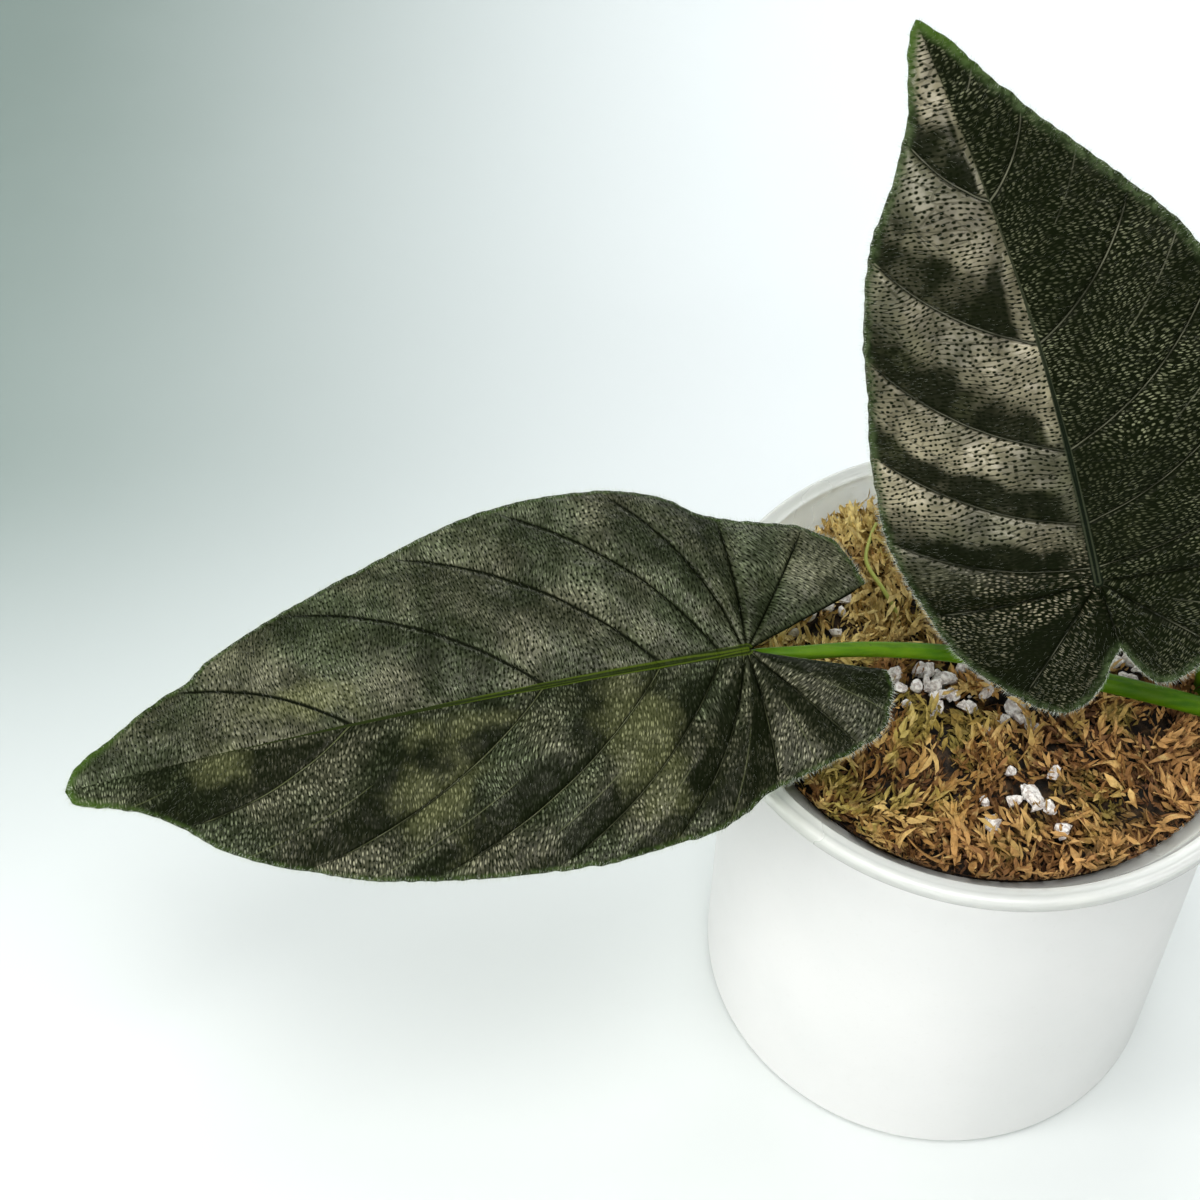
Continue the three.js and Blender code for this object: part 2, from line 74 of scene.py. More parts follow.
# %% Camera
camera_place = (-74.8 * mm, -238.7 * mm, 403.8 * mm)
camera_tilt = math.radians(40.3)
camera = bpy.data.objects.new("camera", bpy.data.cameras.new("camera"))
camera.data.lens = 60
camera.data.sensor_width = 36
camera.location = camera_place
camera.rotation_euler = (camera_tilt, 0, 0)
bpy.context.scene.collection.objects.link(camera)
bpy.context.scene.camera = camera
print("camera at", [round(v, 3) for v in camera_place])

# %% [markdown]
# ## Helpers
# Materials and Geometry Nodes are both trees of nodes. One helper adds a node, sets what it says and
# plugs in what it is given, so that each tree below reads from top to bottom. Others turn points and
# faces into a named mesh object that sits at the origin, and keep values for each of its points.


# %% Node and mesh helpers
def add(tree, kind, inputs=None, **settings):
    made = tree.nodes.new(kind)
    for name, value in settings.items():
        setattr(made, name, value)
    for socket, value in (inputs or {}).items():
        if isinstance(value, bpy.types.NodeSocket):
            tree.links.new(value, made.inputs[socket])
        else:
            made.inputs[socket].default_value = value
    return made


def calc(tree, operation, *values):
    inputs = {i: value for i, value in enumerate(values)}
    return add(tree, "ShaderNodeMath", inputs, operation=operation).outputs[0]


def fade(tree, value, start, end, low=0.0, high=1.0):
    inputs = {"Value": value, "From Min": start, "From Max": end, "To Min": low, "To Max": high}
    return add(tree, "ShaderNodeMapRange", inputs, interpolation_type="SMOOTHSTEP").outputs[0]


def blend(tree, share, first, second):
    return add(tree, "ShaderNodeMix", {0: share, 6: first, 7: second}, data_type="RGBA").outputs[2]


def material(name):
    made = bpy.data.materials.new(name)
    made.use_nodes = True
    tree = made.node_tree
    shader = tree.nodes["Principled BSDF"]
    return made, tree, shader


def colour(red, green, blue):
    return (red, green, blue, 1.0)


def spread(tree, scale, detail=2.0, vector=None, roughness=0.5):
    """Soft noise, about 0.5 all over, with one swell per 1/scale metres."""
    vector = vector or add(tree, "ShaderNodeTexCoord").outputs["Object"]
    inputs = {"Vector": vector, "Scale": scale, "Detail": detail, "Roughness": roughness}
    return add(tree, "ShaderNodeTexNoise", inputs).outputs["Fac"]


def relief(tree, height, strength=1.0):
    """Turns a height in metres into a bump."""
    inputs = {"Height": height, "Strength": strength, "Distance": 1.0}
    return add(tree, "ShaderNodeBump", inputs).outputs["Normal"]


def piece(name, points, faces, *materials):
    """A smooth mesh object at the origin, from points in millimetres."""
    mesh = bpy.data.meshes.new(name)
    mesh.from_pydata((np.asarray(points, float) * mm).tolist(), [], faces)
    for each in materials:
        mesh.materials.append(each)
    mesh.shade_smooth()
    made = bpy.data.objects.new(name, mesh)
    bpy.context.scene.collection.objects.link(made)
    return made


def store(mesh, key, values, kind="FLOAT"):
    """Keeps a number or a direction for each point of a mesh, for materials and node groups."""
    field = "vector" if kind == "FLOAT_VECTOR" else "value"
    flat = np.asarray(values, np.float32).ravel()
    mesh.attributes.new(key, kind, "POINT").data.foreach_set(field, flat)


def join(points, faces, more_points, more_faces):
    """Adds one shape's points and faces to the lists of another."""
    faces += [tuple(len(points) + v for v in face) for face in more_faces]
    points += list(more_points)


def dress(made, slot, *nodes):
    """Ties a finished piece to the frame: it stands for these nodes. The slot is not used."""
    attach(made, "root")
    if nodes:
        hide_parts(*nodes)
    print(f"{made.name}: {sum(len(p.vertices) - 2 for p in made.data.polygons)} triangles")
    return made


# %% [markdown]
# ## Table, backdrop and light
# A photo studio uses a sheet that runs from the table up behind the object, so that no edge shows.
# Here one curved sheet does the same. Painted shade lies in its colour by place: blue-white in
# front and darker grey-green at the back left. The main light comes from above and a little from
# the front, with a small one over the leaves. A wide soft box in front draws the pale sheen on the
# left half of the upright leaf, because only that half faces it like a mirror, and that half is also
# painted paler. One light brightens the pot's left side, and one behind the plant brightens the
# sheet.

# %% Stage
fold_start = 620 * mm
fold_radius = 160 * mm
sheet_half = 1600 * mm
sheet_top = 1500 * mm
sheet_front = -1500 * mm
fold_steps = 16


def backdrop():
    """The sheet lies flat, turns up through a quarter circle and ends in an upright wall."""
    side = [(sheet_front, 0.0), (fold_start, 0.0)]
    for i in range(1, fold_steps + 1):
        turn = math.pi / 2 * i / fold_steps
        side.append((fold_start + fold_radius * math.sin(turn), fold_radius * (1 - math.cos(turn))))
    side.append((fold_start + fold_radius, sheet_top))
    points = [(x / mm, y / mm, z / mm) for y, z in side for x in (-sheet_half, sheet_half)]
    faces = [(2 * i, 2 * i + 1, 2 * i + 3, 2 * i + 2) for i in range(len(side) - 1)]
    return points, faces


def sheet_finish():
    """Painted shade by place, from the front to the back and to the left; the places are in metres."""
    made, tree, shader = material("backdrop_sheet")
    place = add(tree, "ShaderNodeTexCoord").outputs["Object"]
    axes = add(tree, "ShaderNodeSeparateXYZ", {0: place})
    to_left = fade(tree, axes.outputs["X"], 0.06, -0.3)
    to_back = fade(tree, axes.outputs["Y"], -0.05, 0.17)
    # painted shade: darker grey-green towards the back left of the sheet
    shade = calc(tree, "MULTIPLY", to_left, to_back)
    cool = blend(tree, to_back, colour(0.765, 0.79, 0.77), colour(0.92, 0.955, 0.965))
    green = blend(tree, shade, cool, colour(0.225, 0.285, 0.258))
    clouds = fade(tree, spread(tree, 9.0, 4.0), 0.3, 0.7)
    tinted = blend(tree, calc(tree, "MULTIPLY", clouds, 0.06), green, colour(0.6, 0.66, 0.66))
    tree.links.new(tinted, shader.inputs["Base Color"])
    shader.inputs["Roughness"].default_value = 0.85
    return made


sheet = piece("backdrop", *backdrop(), sheet_finish())


# %% Light
def soft_light(name, place, aim, width, power, height=None):
    """A round light, or a wide soft box where a height is given; the power is in watts."""
    lamp = bpy.data.lights.new(name, "AREA")
    lamp.shape = "RECTANGLE" if height else "DISK"
    lamp.size = width
    lamp.size_y = height or width
    lamp.energy = power
    made = bpy.data.objects.new(name, lamp)
    made.location = place
    made.rotation_euler = (Vector(aim) - Vector(place)).to_track_quat("-Z", "Y").to_euler()
    bpy.context.scene.collection.objects.link(made)
    return made


plant_middle = (-60 * mm, 0.0, 120 * mm)
soft_light("overhead", (0.0, -0.27, 0.97), plant_middle, 0.36, 3.5)
soft_light("top", (-0.13, 0.1, 1.0), plant_middle, 0.28, 1.2)
soft_light("front", (-0.16, -0.88, 0.6), (0.0, 0.0, 180 * mm), 0.66, 3.7, 0.24)
soft_light("left", (-0.85, -0.25, 0.45), plant_middle, 0.4, 4.0)
soft_light("back", (0.0, 0.8, 0.55), (0.0, 0.36, 0.0), 0.5, 3.2)
world = bpy.data.worlds.new("room")
world.use_nodes = True
world.node_tree.nodes["Background"].inputs["Color"].default_value = colour(0.93, 0.98, 1.0)
world.node_tree.nodes["Background"].inputs["Strength"].default_value = 0.4
bpy.context.scene.world = world
bpy.context.scene.view_settings.view_transform = "Standard"

# %% [markdown]
# ## The cover pot
# A plain moulded pot of matt white plastic, nearly straight. A turned part is a profile spun round
# its axis, and a profile written in code keeps every wall, round and edge at its real size.

# %% Turned shapes
pot_sides = 160


def turned(profile, sides=pot_sides):
    """Points and faces of a closed profile spun round the Z axis; it starts and ends on the axis."""
    rim = profile[1:-1]
    angles = np.linspace(0, 2 * math.pi, sides, endpoint=False)
    points = [(0.0, 0.0, profile[0][1])]
    for radius, z in rim:
        points += [(radius * math.cos(a), radius * math.sin(a), z) for a in angles]
    points.append((0.0, 0.0, profile[-1][1]))
    faces = []
    last = len(points) - 1
    for k in range(sides):
        after = (k + 1) % sides
        faces.append((0, 1 + after, 1 + k))
        for row in range(len(rim) - 1):
            low, high = 1 + row * sides, 1 + (row + 1) * sides
            faces.append((low + k, low + after, high + after, high + k))
        top = 1 + (len(rim) - 1) * sides
        faces.append((top + k, top + after, last))
    return points, faces


def quarter(cx, cz, radius, start, end, steps=5):
    """The points of a round corner, from one angle to another in degrees."""
    turns = [math.radians(start + (end - start) * i / steps) for i in range(steps + 1)]
    return [(cx + radius * math.cos(a), cz + radius * math.sin(a)) for a in turns]


# %% Cover pot
cover_height = 97.9
cover_top_radius = 48.8
cover_base_radius = 50
cover_wall = 1.3
cover_floor = 2
foot_round = 3


def matt_white():
    made, tree, shader = material("matt_white_plastic")
    cloud = spread(tree, 26, 4)
    dust = fade(tree, spread(tree, 900, 2), 0.62, 0.72)
    tone = blend(tree, fade(tree, cloud, 0.35, 0.7), colour(0.77, 0.765, 0.745), colour(0.74, 0.74, 0.72))
    tone = blend(tree, calc(tree, "MULTIPLY", dust, 0.05), tone, colour(0.5, 0.48, 0.42))
    tree.links.new(tone, shader.inputs["Base Color"])
    tree.links.new(fade(tree, spread(tree, 60, 3), 0.3, 0.7, 0.42, 0.56), shader.inputs["Roughness"])
    grain = calc(tree, "MULTIPLY", spread(tree, 1500, 2), 0.02 * mm)
    tree.links.new(relief(tree, grain), shader.inputs["Normal"])
    return made


def cover_profile():
    inside, edge = cover_top_radius - cover_wall, cover_wall / 2
    inside_base = cover_base_radius - cover_wall
    foot, lip = cover_base_radius - foot_round, cover_height - edge
    return [
        (0, 0), (foot - 3, 0),
        *quarter(foot, foot_round, foot_round, -90, 0, 8),
        *quarter(cover_top_radius - edge, lip, edge, 0, 180, 8),
        (inside, lip - edge),
        *quarter(inside_base - foot_round, cover_floor + foot_round, foot_round, 0, -90),
        (0, cover_floor),
    ]


cover_pot = piece("white_cover_pot", *turned(cover_profile()), matt_white())
dress(cover_pot, "cover_pot", "cover_pot")

# %% [markdown]
# ## The clear pot
# A thin growing pot of clear, slightly cloudy plastic. Its shoulder rests on the cover pot's edge.
# Above it a flat lip with a turned-down edge and a low raised bead round the outside catches the
# light. The plastic lets light through, so its shader mixes some white haze into the glass. The
# drain holes are cut with a Boolean.

# %% Clear pot
rim_height = 106.2
rim_radius = 55
lip_width = 3.4
lip_depth = 3
lip_thickness = 1.8
lip_bead_width = 1.4
lip_bead_height = 0.35
inner_wall = 0.9
inner_floor = 3
inner_base_radius = 43
inner_neck_radius = 47.2
shoulder_z = cover_height + 0.4
shoulder_radius = cover_top_radius + 0.6
mouth_radius = rim_radius - lip_width
drain_holes = 8
drain_radius = 3
drain_circle = 26
drill_length = (1, 7)


def clear_plastic():
    made, tree, shader = material("clear_plastic")
    haze = fade(tree, spread(tree, 35, 3), 0.35, 0.65, 0.0, 1.0)
    tone = blend(tree, haze, colour(0.96, 0.965, 0.93), colour(0.92, 0.93, 0.86))
    smear = fade(tree, spread(tree, 140, 4), 0.62, 0.72, 0.0, 0.35)
    tone = blend(tree, smear, tone, colour(0.62, 0.58, 0.42))
    tree.links.new(tone, shader.inputs["Base Color"])
    tree.links.new(fade(tree, haze, 0, 1, 0.16, 0.3), shader.inputs["Roughness"])
    tree.links.new(fade(tree, haze, 0, 1, 0.48, 0.3), shader.inputs["Transmission Weight"])
    scratches = spread(tree, 420, 3)
    tree.links.new(relief(tree, calc(tree, "MULTIPLY", scratches, 0.03 * mm)), shader.inputs["Normal"])
    shader.inputs["IOR"].default_value = 1.45
    return made


def clear_profile():
    """Down the outer wall from the floor's middle, round the lip and down the inner wall."""
    edge, under, plate = 0.5, rim_height - lip_depth, rim_height - lip_thickness
    flat = rim_height - lip_bead_height
    return [
        (0, inner_floor), (inner_base_radius - 1.5, inner_floor),
        *quarter(inner_base_radius - 1.5, inner_floor + 1.5, 1.5, -80, 0),
        (inner_neck_radius, shoulder_z), (shoulder_radius, shoulder_z),
        (mouth_radius + 0.2, plate), (rim_radius - 1.1, plate), (rim_radius - 1.1, under),
        (rim_radius, under),
        *quarter(rim_radius - edge, rim_height - edge, edge, 0, 90),
        (rim_radius - lip_bead_width, rim_height), (rim_radius - lip_bead_width - 0.2, flat),
        *quarter(mouth_radius + 0.5, flat - 0.5, 0.5, 90, 180),
        (mouth_radius - 0.7, plate), (shoulder_radius - inner_wall, shoulder_z + inner_wall),
        (inner_neck_radius - inner_wall, shoulder_z + 0.7),
        (inner_base_radius - inner_wall, inner_floor + 2),
        (inner_base_radius - 1.5 - inner_wall, inner_floor + inner_wall),
        (0, inner_floor + inner_wall),
    ]


def cut(target, cutter):
    """Takes one object's shape out of another's mesh for good."""
    modifier = target.modifiers.new("cut", "BOOLEAN")
    modifier.object = cutter
    modifier.solver = "EXACT"
    graph = bpy.context.evaluated_depsgraph_get()
    mesh = bpy.data.meshes.new_from_object(target.evaluated_get(graph), depsgraph=graph)
    target.modifiers.clear()
    target.data = mesh
    bpy.data.objects.remove(cutter)


def drills():
    """One short rod for each drain hole, standing through the pot's floor."""
    points, faces = [], []
    for i in range(drain_holes):
        turn = 2 * math.pi * i / drain_holes
        middle = np.array([drain_circle * math.cos(turn), drain_circle * math.sin(turn), 0])
        low, high = drill_length
        shape = [(0, low), (drain_radius, low), (drain_radius, high), (0, high)]
        drill_points, drill_faces = turned(shape, 20)
        join(points, faces, [tuple(np.add(p, middle)) for p in drill_points], drill_faces)
    return points, faces


clear_pot = piece("clear_inner_pot", *turned(clear_profile()), clear_plastic())
cut(clear_pot, piece("drills", *drills()))
dress(clear_pot, "inner_pot", "inner_pot")

# %% [markdown]
# ## Petioles
# A petiole is the leaf's stalk. Both start at the corm in the moss, and one runs low across the pot
# before it carries its leaf over the edge. A smooth curve through a few given points gives the
# route, and rings of points along it make the stalk, thicker towards its base. A shallow groove
# runs along the upper side, as on the real one.


# %% Curves
def soft_step(values, start, end):
    t = np.clip((values - start) / (end - start), 0, 1)
    return t * t * (3 - 2 * t)


def spline(points, steps):
    """A smooth curve through the points, with this many steps between each two."""
    p = np.asarray(points, float)
    p = np.vstack([2 * p[0] - p[1], p, 2 * p[-1] - p[-2]])
    t = np.linspace(0, 1, steps, endpoint=False)[:, None]
    spans = []
    for a, b, c, d in zip(p, p[1:], p[2:], p[3:]):
        near, far = (c - a) / 2, (d - b) / 2
        spans.append(b + near * t + (3 * (c - b) - 2 * near - far) * t**2 + (2 * (b - c) + near + far) * t**3)
    return np.vstack([*spans, p[-2:-1]])


def stalk(middle, radius_at, sides, ripple=None):
    """Rings of points round a curve, closed at both ends."""
    middle = np.asarray(middle)
    gaps = np.linalg.norm(np.diff(middle, axis=0), axis=1)
    share = np.concatenate([[0], np.cumsum(gaps)]) / gaps.sum()
    ahead = np.gradient(middle, axis=0)
    ahead /= np.linalg.norm(ahead, axis=1)[:, None]
    points, up = [middle[0]], np.array([0.0, 0.0, 1.0])
    for place, along, s in zip(middle, ahead, share):
        up = up - along * (up @ along)
        up /= np.linalg.norm(up)
        side = np.cross(along, up)
        for k in range(sides):
            turn = 2 * math.pi * k / sides
            reach = radius_at(s) * (ripple(turn, s) if ripple else 1.0)
            points.append(place + reach * (math.cos(turn) * up + math.sin(turn) * side))
    points.append(middle[-1])
    faces, last = [], len(points) - 1
    for k in range(sides):
        after = (k + 1) % sides
        faces.append((0, 1 + k, 1 + after))
        for row in range(len(middle) - 1):
            low, high = 1 + row * sides, 1 + (row + 1) * sides
            faces.append((low + k, high + k, high + after, low + after))
        top = 1 + (len(middle) - 1) * sides
        faces.append((top + after, top + k, last))
    return points, faces


# %% Petioles
petiole_thin = 1.2
petiole_thick = 1.85
petiole_base = 2.1
petiole_point = 0.035
resting_petiole_route = [
    (-50.4, -13, 121.9), (-45.5, -12.6, 121.9), (-38.6, -11.9, 121.6), (-27.2, -10.2, 120.5),
    (-12.2, -8.3, 117.2), (0.4, -8.6, 114.6), (18.6, -10.5, 111.2), (36.8, -12.9, 107),
    (41.2, -12.4, 103.6), (42, -11.4, 99.5), (40.4, -10.9, 94), (37.9, -10.4, 86.4),
]
upright_petiole_route = [
    (12, -10.4, 141.3), (15.6, -8.6, 139.4), (22.4, -5.6, 135.6), (29, -3.6, 129.6),
    (34.6, -3.2, 121.4), (38.6, -3.8, 111.4), (40.2, -4.6, 103), (39.2, -5, 96), (36.2, -5.3, 86.4),
]


def petiole_radius(share):
    """Pointed where it meets the blade, thin above and swollen at the base."""
    if share < petiole_point:
        return petiole_thin * (0.45 + 0.55 * share / petiole_point)
    swell = min(1, max(0, (share - 0.75) / 0.25))
    swell = swell * swell * (3 - 2 * swell)
    thick = petiole_thin + (petiole_thick - petiole_thin) * min(1, share * 1.6)
    return thick + (petiole_base - petiole_thick) * swell


def petiole_green():
    made, tree, shader = material("petiole_green")
    streaks = add(tree, "ShaderNodeMapping", {"Scale": (90, 700, 700)})
    tree.links.new(add(tree, "ShaderNodeTexCoord").outputs["Object"], streaks.inputs["Vector"])
    fibre = spread(tree, 1.0, 3, streaks.outputs[0])
    mottle = fade(tree, spread(tree, 160, 4), 0.35, 0.7)
    green = blend(tree, fade(tree, fibre, 0.3, 0.7), colour(0.03, 0.1, 0.001), colour(0.075, 0.17, 0.002))
    green = blend(tree, calc(tree, "MULTIPLY", mottle, 0.4), green, colour(0.12, 0.2, 0.004))
    scar = fade(tree, spread(tree, 330, 2), 0.74, 0.78)
    scarred = blend(tree, scar, green, colour(0.025, 0.03, 0.012))
    tree.links.new(scarred, shader.inputs["Base Color"])
    tree.links.new(relief(tree, calc(tree, "MULTIPLY", fibre, 0.1 * mm)), shader.inputs["Normal"])
    shader.inputs["Roughness"].default_value = 0.42
    shader.inputs["Specular IOR Level"].default_value = 0.15
    shader.inputs["Subsurface Weight"].default_value = 0.25
    shader.inputs["Subsurface Radius"].default_value = (0.6, 1.0, 0.2)
    shader.inputs["Subsurface Scale"].default_value = 1.2 * mm
    return made


def groove(turn, share):
    """The shallow groove along the petiole's upper side."""
    from_top = turn if turn < math.pi else 2 * math.pi - turn
    return 1 - 0.13 * math.exp(-(from_top / 0.32) ** 2)


def store_stem_hair(made):
    """Hairs stand straight out of a petiole, except on the part that the moss hides."""
    mesh = made.data
    heights = np.array([vertex.co.z for vertex in mesh.vertices]) / mm
    store(mesh, "lie", [vertex.normal[:] for vertex in mesh.vertices], "FLOAT_VECTOR")
    store(mesh, "down", soft_step(heights, 101, 104))


petiole_finish = petiole_green()
petioles = {}
for name, route in (("resting", resting_petiole_route), ("upright", upright_petiole_route)):
    points, faces = stalk(spline(route, 10), petiole_radius, 28, groove)
    petioles[name] = piece(f"petiole_of_{name}_leaf", points, faces, petiole_finish)
    store_stem_hair(petioles[name])
    dress(petioles[name], "petiole", f"petiole_{name}")

# %% [markdown]
# ## The leaf outlines
# A blade is drawn along its side veins. Each rib leaves the midrib, bends towards the tip and ends
# at the margin, and behind the petiole the ribs fan out from one point. The last ribs before the fan
# straighten little by little, so that no two cross. Every fourth rib is a real side vein. This keeps
# the mesh flowing with the veins, so grooves, quilting and markings can all follow them.

# %% Leaf values
resting_leaf = {
    "place": (-48.4, -13.2, 124), "to_tip": (-0.981, -0.191, -0.017), "upper_face": (0.033, -0.257, 0.966),
    "length": 124, "bow": 0, "droop": 0.0009, "droop_from": 0, "fold": 0.1, "curl": 0.0028,
    "sinus_angle": 160, "rib_power": 3,
    "left_margin": [
        (124, 0), (122, 3.2), (115, 6), (108, 9.4), (102, 14), (96.9, 18.4), (89, 22.8), (82.8, 25.2),
        (72.7, 29), (63.6, 31), (55.3, 32.6), (44.5, 34), (33.7, 34.8), (25.8, 34.3), (17.7, 33.3),
        (11.4, 32.2), (7, 30.2), (1, 26.8), (-8, 24.3), (-16.7, 21.7), (-20.4, 19.6), (-22, 16.6),
        (-23.9, 12), (-23.6, 8.6),
    ],
    "right_margin": [
        (124, 0), (121.4, -4), (113.7, -8), (106, -12), (100.3, -14.3), (95.7, -17.7), (87.3, -21.8),
        (76, -26.5), (64.2, -30.6), (53.6, -33.9), (44, -36.1), (34, -36.9), (23.6, -36.8),
        (16.4, -35.7), (8.6, -33), (3.5, -28.9), (-2, -26.6), (-13.4, -22.9), (-17.7, -20.2),
        (-20.7, -17.6), (-22.3, -13.6), (-23.9, -8.7),
    ],
}
upright_leaf = {
    "place": (11.4, -12.4, 142), "to_tip": (-0.38, 0.407, 0.83), "upper_face": (-0.294, -0.905, 0.309),
    "length": 100.5, "bow": -3.2, "droop": 0.0007, "droop_from": 20, "fold": 0.12, "curl": 0.003,
    "sinus_angle": 180, "rib_power": 2,
    "left_margin": [
        (100.5, 0), (97.4, 2.2), (92.2, 3.8), (87, 5.6), (82.5, 8), (78.1, 10.8), (74.6, 13.4),
        (71, 16.4), (66, 19.4), (58.8, 22.6), (51.2, 25.4), (43, 27.4), (35.3, 29.8), (25.6, 31.7),
        (16.6, 32.8), (7.4, 32.2), (1.7, 31.1), (-4.9, 29.7), (-11.1, 27), (-16.2, 23), (-19.8, 19.4),
        (-22.5, 16.1), (-23.7, 12), (-22.2, 7.8), (-19.4, 4.6), (-15.8, 2), (-13.7, 0),
    ],
    "right_margin": [
        (100.5, 0), (97.5, -3.2), (93.4, -5.9), (89, -8.5), (85.6, -11), (81.4, -13.9), (77.3, -17.2),
        (73, -20.3), (69.5, -22.9), (66.2, -25.2), (62.2, -27.9), (58.6, -29.9), (53.7, -32),
        (44, -35), (34, -36.8), (23, -37), (12, -35.4), (2, -32.4), (-7, -28), (-14.5, -20.4),
        (-19.2, -12.4), (-21.2, -7.4), (-21.2, -4.4), (-18.6, -2.2), (-15.6, -0.8), (-13.7, 0),
    ],
}
# bends are shares of a rib's length, and the rest are counts or millimetres
front_ribs = 24
back_ribs = 8
ribs_between_veins = 4
rib_bend = 0.16
fan_bend = 0.04
fan_ribs = 3
splits = 8
rib_steps = 44
quilt_rise = 1.1
margin_wave = 0.8
full_swell = 23
edge_ripple = 0.34


# %% Ribs
def first_crossing(curve, measure):
    """The point where the measure along a curve first falls to zero."""
    at = int(np.argmax(measure <= 0))
    if at == 0:
        return curve[0]
    share = measure[at - 1] / (measure[at - 1] - measure[at])
    return curve[at - 1] + share * (curve[at] - curve[at - 1])


def midrib_height(leaf, x):
    return leaf["bow"] * np.sin(np.pi * np.clip(x, 0, None) / leaf["length"])


def half_blade(leaf, side):
    """Points in the blade's own plane, one row for each fine rib, and each rib's chord."""
    margin = spline(leaf["left_margin" if side > 0 else "right_margin"], 60)
    angle = np.arctan2(margin[:, 1] * side, margin[:, 0])
    along = np.linspace(0, 1, rib_steps + 1)[:, None]
    rows, chords = [], []
    for k in range((front_ribs + back_ribs) * splits + 1):
        rib = k / splits
        front = max(0, 1 - rib / front_ribs)
        behind = max(0, rib - front_ribs) / back_ribs
        x = leaf["length"] * front ** leaf["rib_power"]
        start = np.array([x, midrib_height(leaf, x)])
        if front > 0:
            end = first_crossing(margin, margin[:, 0] - leaf["length"] * front)
        else:
            reach = math.radians(90 + (leaf["sinus_angle"] - 90) * behind)
            end = margin[-1] if behind == 1 else first_crossing(margin, reach - angle)
        chord = end - start
        to_fan = min(1, max(0, (rib - front_ribs + fan_ribs) / fan_ribs))
        bulge = (rib_bend * (1 - to_fan) + fan_bend * to_fan) * (1 - behind)
        bend = np.array([-chord[1] * side, chord[0] * side]) * bulge
        control = (start + end) / 2 + bend
        row = start * (1 - along) ** 2 + 2 * control * along * (1 - along) + end * along**2
        if 0 < behind < 1 or 0 < front < 1:
            ripple = edge_ripple * noise.noise((end[0] / 1.7, end[1] / 1.7, side))
            row = row + along**10 * chord / np.linalg.norm(chord) * ripple
        rows.append(row)
        chords.append(np.linalg.norm(chord))
    return np.array(rows), np.array(chords)


# %% [markdown]
# ## The blade as a mesh
# The lift of the upper face sets the leaf's body: it droops to the tip, folds up from the midrib,
# curls down at the sides, swells between the veins and waves at the margin. Sunken veins and soft
# puckers come on top. The lower face follows 0.6 mm below, with the midrib and the veins standing
# out of it. Each point also keeps how far it is from the midrib, the nearest vein and the margin,
# because the finish needs these.

# %% Blade shape
blade_thickness = 0.6
vein_depth = 0.55
vein_width = 0.55
pucker_size = 4.5
pucker_height = 0.22


def blade_lift(leaf, flat, along, rib, chord):
    """How far each point of the sheet stands above the blade's plane."""
    x, y = flat[..., 0], flat[..., 1]
    across = np.abs(y - midrib_height(leaf, x))
    room = np.minimum(1, chord / full_swell) * np.minimum(1, np.hypot(x, y) / full_swell)
    phase = 2 * np.pi * rib / ribs_between_veins
    quilt = quilt_rise * room * (0.5 - 0.5 * np.cos(phase)) ** 0.7 * np.sin(np.pi * along**0.8)
    wave = margin_wave * room * along**3 * np.sin(0.45 * phase + x * 0.05)
    droop = leaf["droop"] * np.clip(x - leaf["droop_from"], 0, None) ** 2
    return -droop + leaf["fold"] * across - leaf["curl"] * across**2 + quilt + wave


def distance_to(points, line):
    """Each point's distance to the nearest point of a line."""
    tree = kdtree.KDTree(len(line))
    for i, (x, y) in enumerate(line):
        tree.insert((x, y, 0), i)
    tree.balance()
    return np.array([tree.find((x, y, 0))[2] for x, y in points])


def panel_turns(leaf):
    """The direction of the fine cells in each panel between two veins, in degrees from the midrib."""
    fan = leaf["sinus_angle"] / 180
    return [84, 82, 80, 80, 80, 78, 70 * fan, 50 * fan]


def blade_data(leaf):
    """Every point of the sheet, its triangles, and for each point what the finish needs."""
    flats, lifts, alongs, phases, uvs, triangles, margins = [], [], [], [], [], [], []
    veins, fine_veins, random = [], [], np.random.default_rng(7)
    for side in (1, -1):
        rows, chords = half_blade(leaf, side)
        count = len(rows)
        rib = (np.arange(count) / splits)[:, None]
        along = np.linspace(0, 1, rib_steps + 1)[None, :]
        base = sum(len(f) for f in flats)
        panel_rows = splits * ribs_between_veins
        margins.append(spline(rows[:, -1], 4))
        flats.append(rows.reshape(-1, 2))
        lifts.append(blade_lift(leaf, rows, along, rib, chords[:, None]).ravel())
        alongs.append(np.repeat(along, count, axis=0).ravel())
        phases.append(np.repeat(rib / ribs_between_veins % 1, rib_steps + 1, axis=1).ravel())
        index = base + np.arange(rows.shape[0] * rows.shape[1]).reshape(rows.shape[:2])
        for k in range(0, count, panel_rows // 2):
            kind = fine_veins if k % panel_rows else veins
            kind.append(spline(rows[k][::4], 12))
        for panel, turn in enumerate(panel_turns(leaf)):
            first = panel * panel_rows
            last = first + panel_rows
            a, b = index[first:last, :-1], index[first:last, 1:]
            c, d = index[first + 1:last + 1, 1:], index[first + 1:last + 1, :-1]
            quads = np.stack([a, b, c, d], axis=-1).reshape(-1, 4)
            tris = np.vstack([quads[:, [0, 1, 2]], quads[:, [0, 2, 3]]])
            if side < 0:
                tris = tris[:, [0, 2, 1]]
            turn = math.radians(turn) * side
            spin = np.array([[math.cos(turn), math.sin(turn)], [-math.sin(turn), math.cos(turn)]])
            shift = random.uniform(-200, 200, 2)
            uvs.append(np.concatenate(flats)[tris] @ spin.T + shift)
            triangles.append(tris)
    lists = (flats, lifts, alongs, phases, veins, fine_veins, margins, triangles, uvs)
    return [np.concatenate(each) for each in lists]


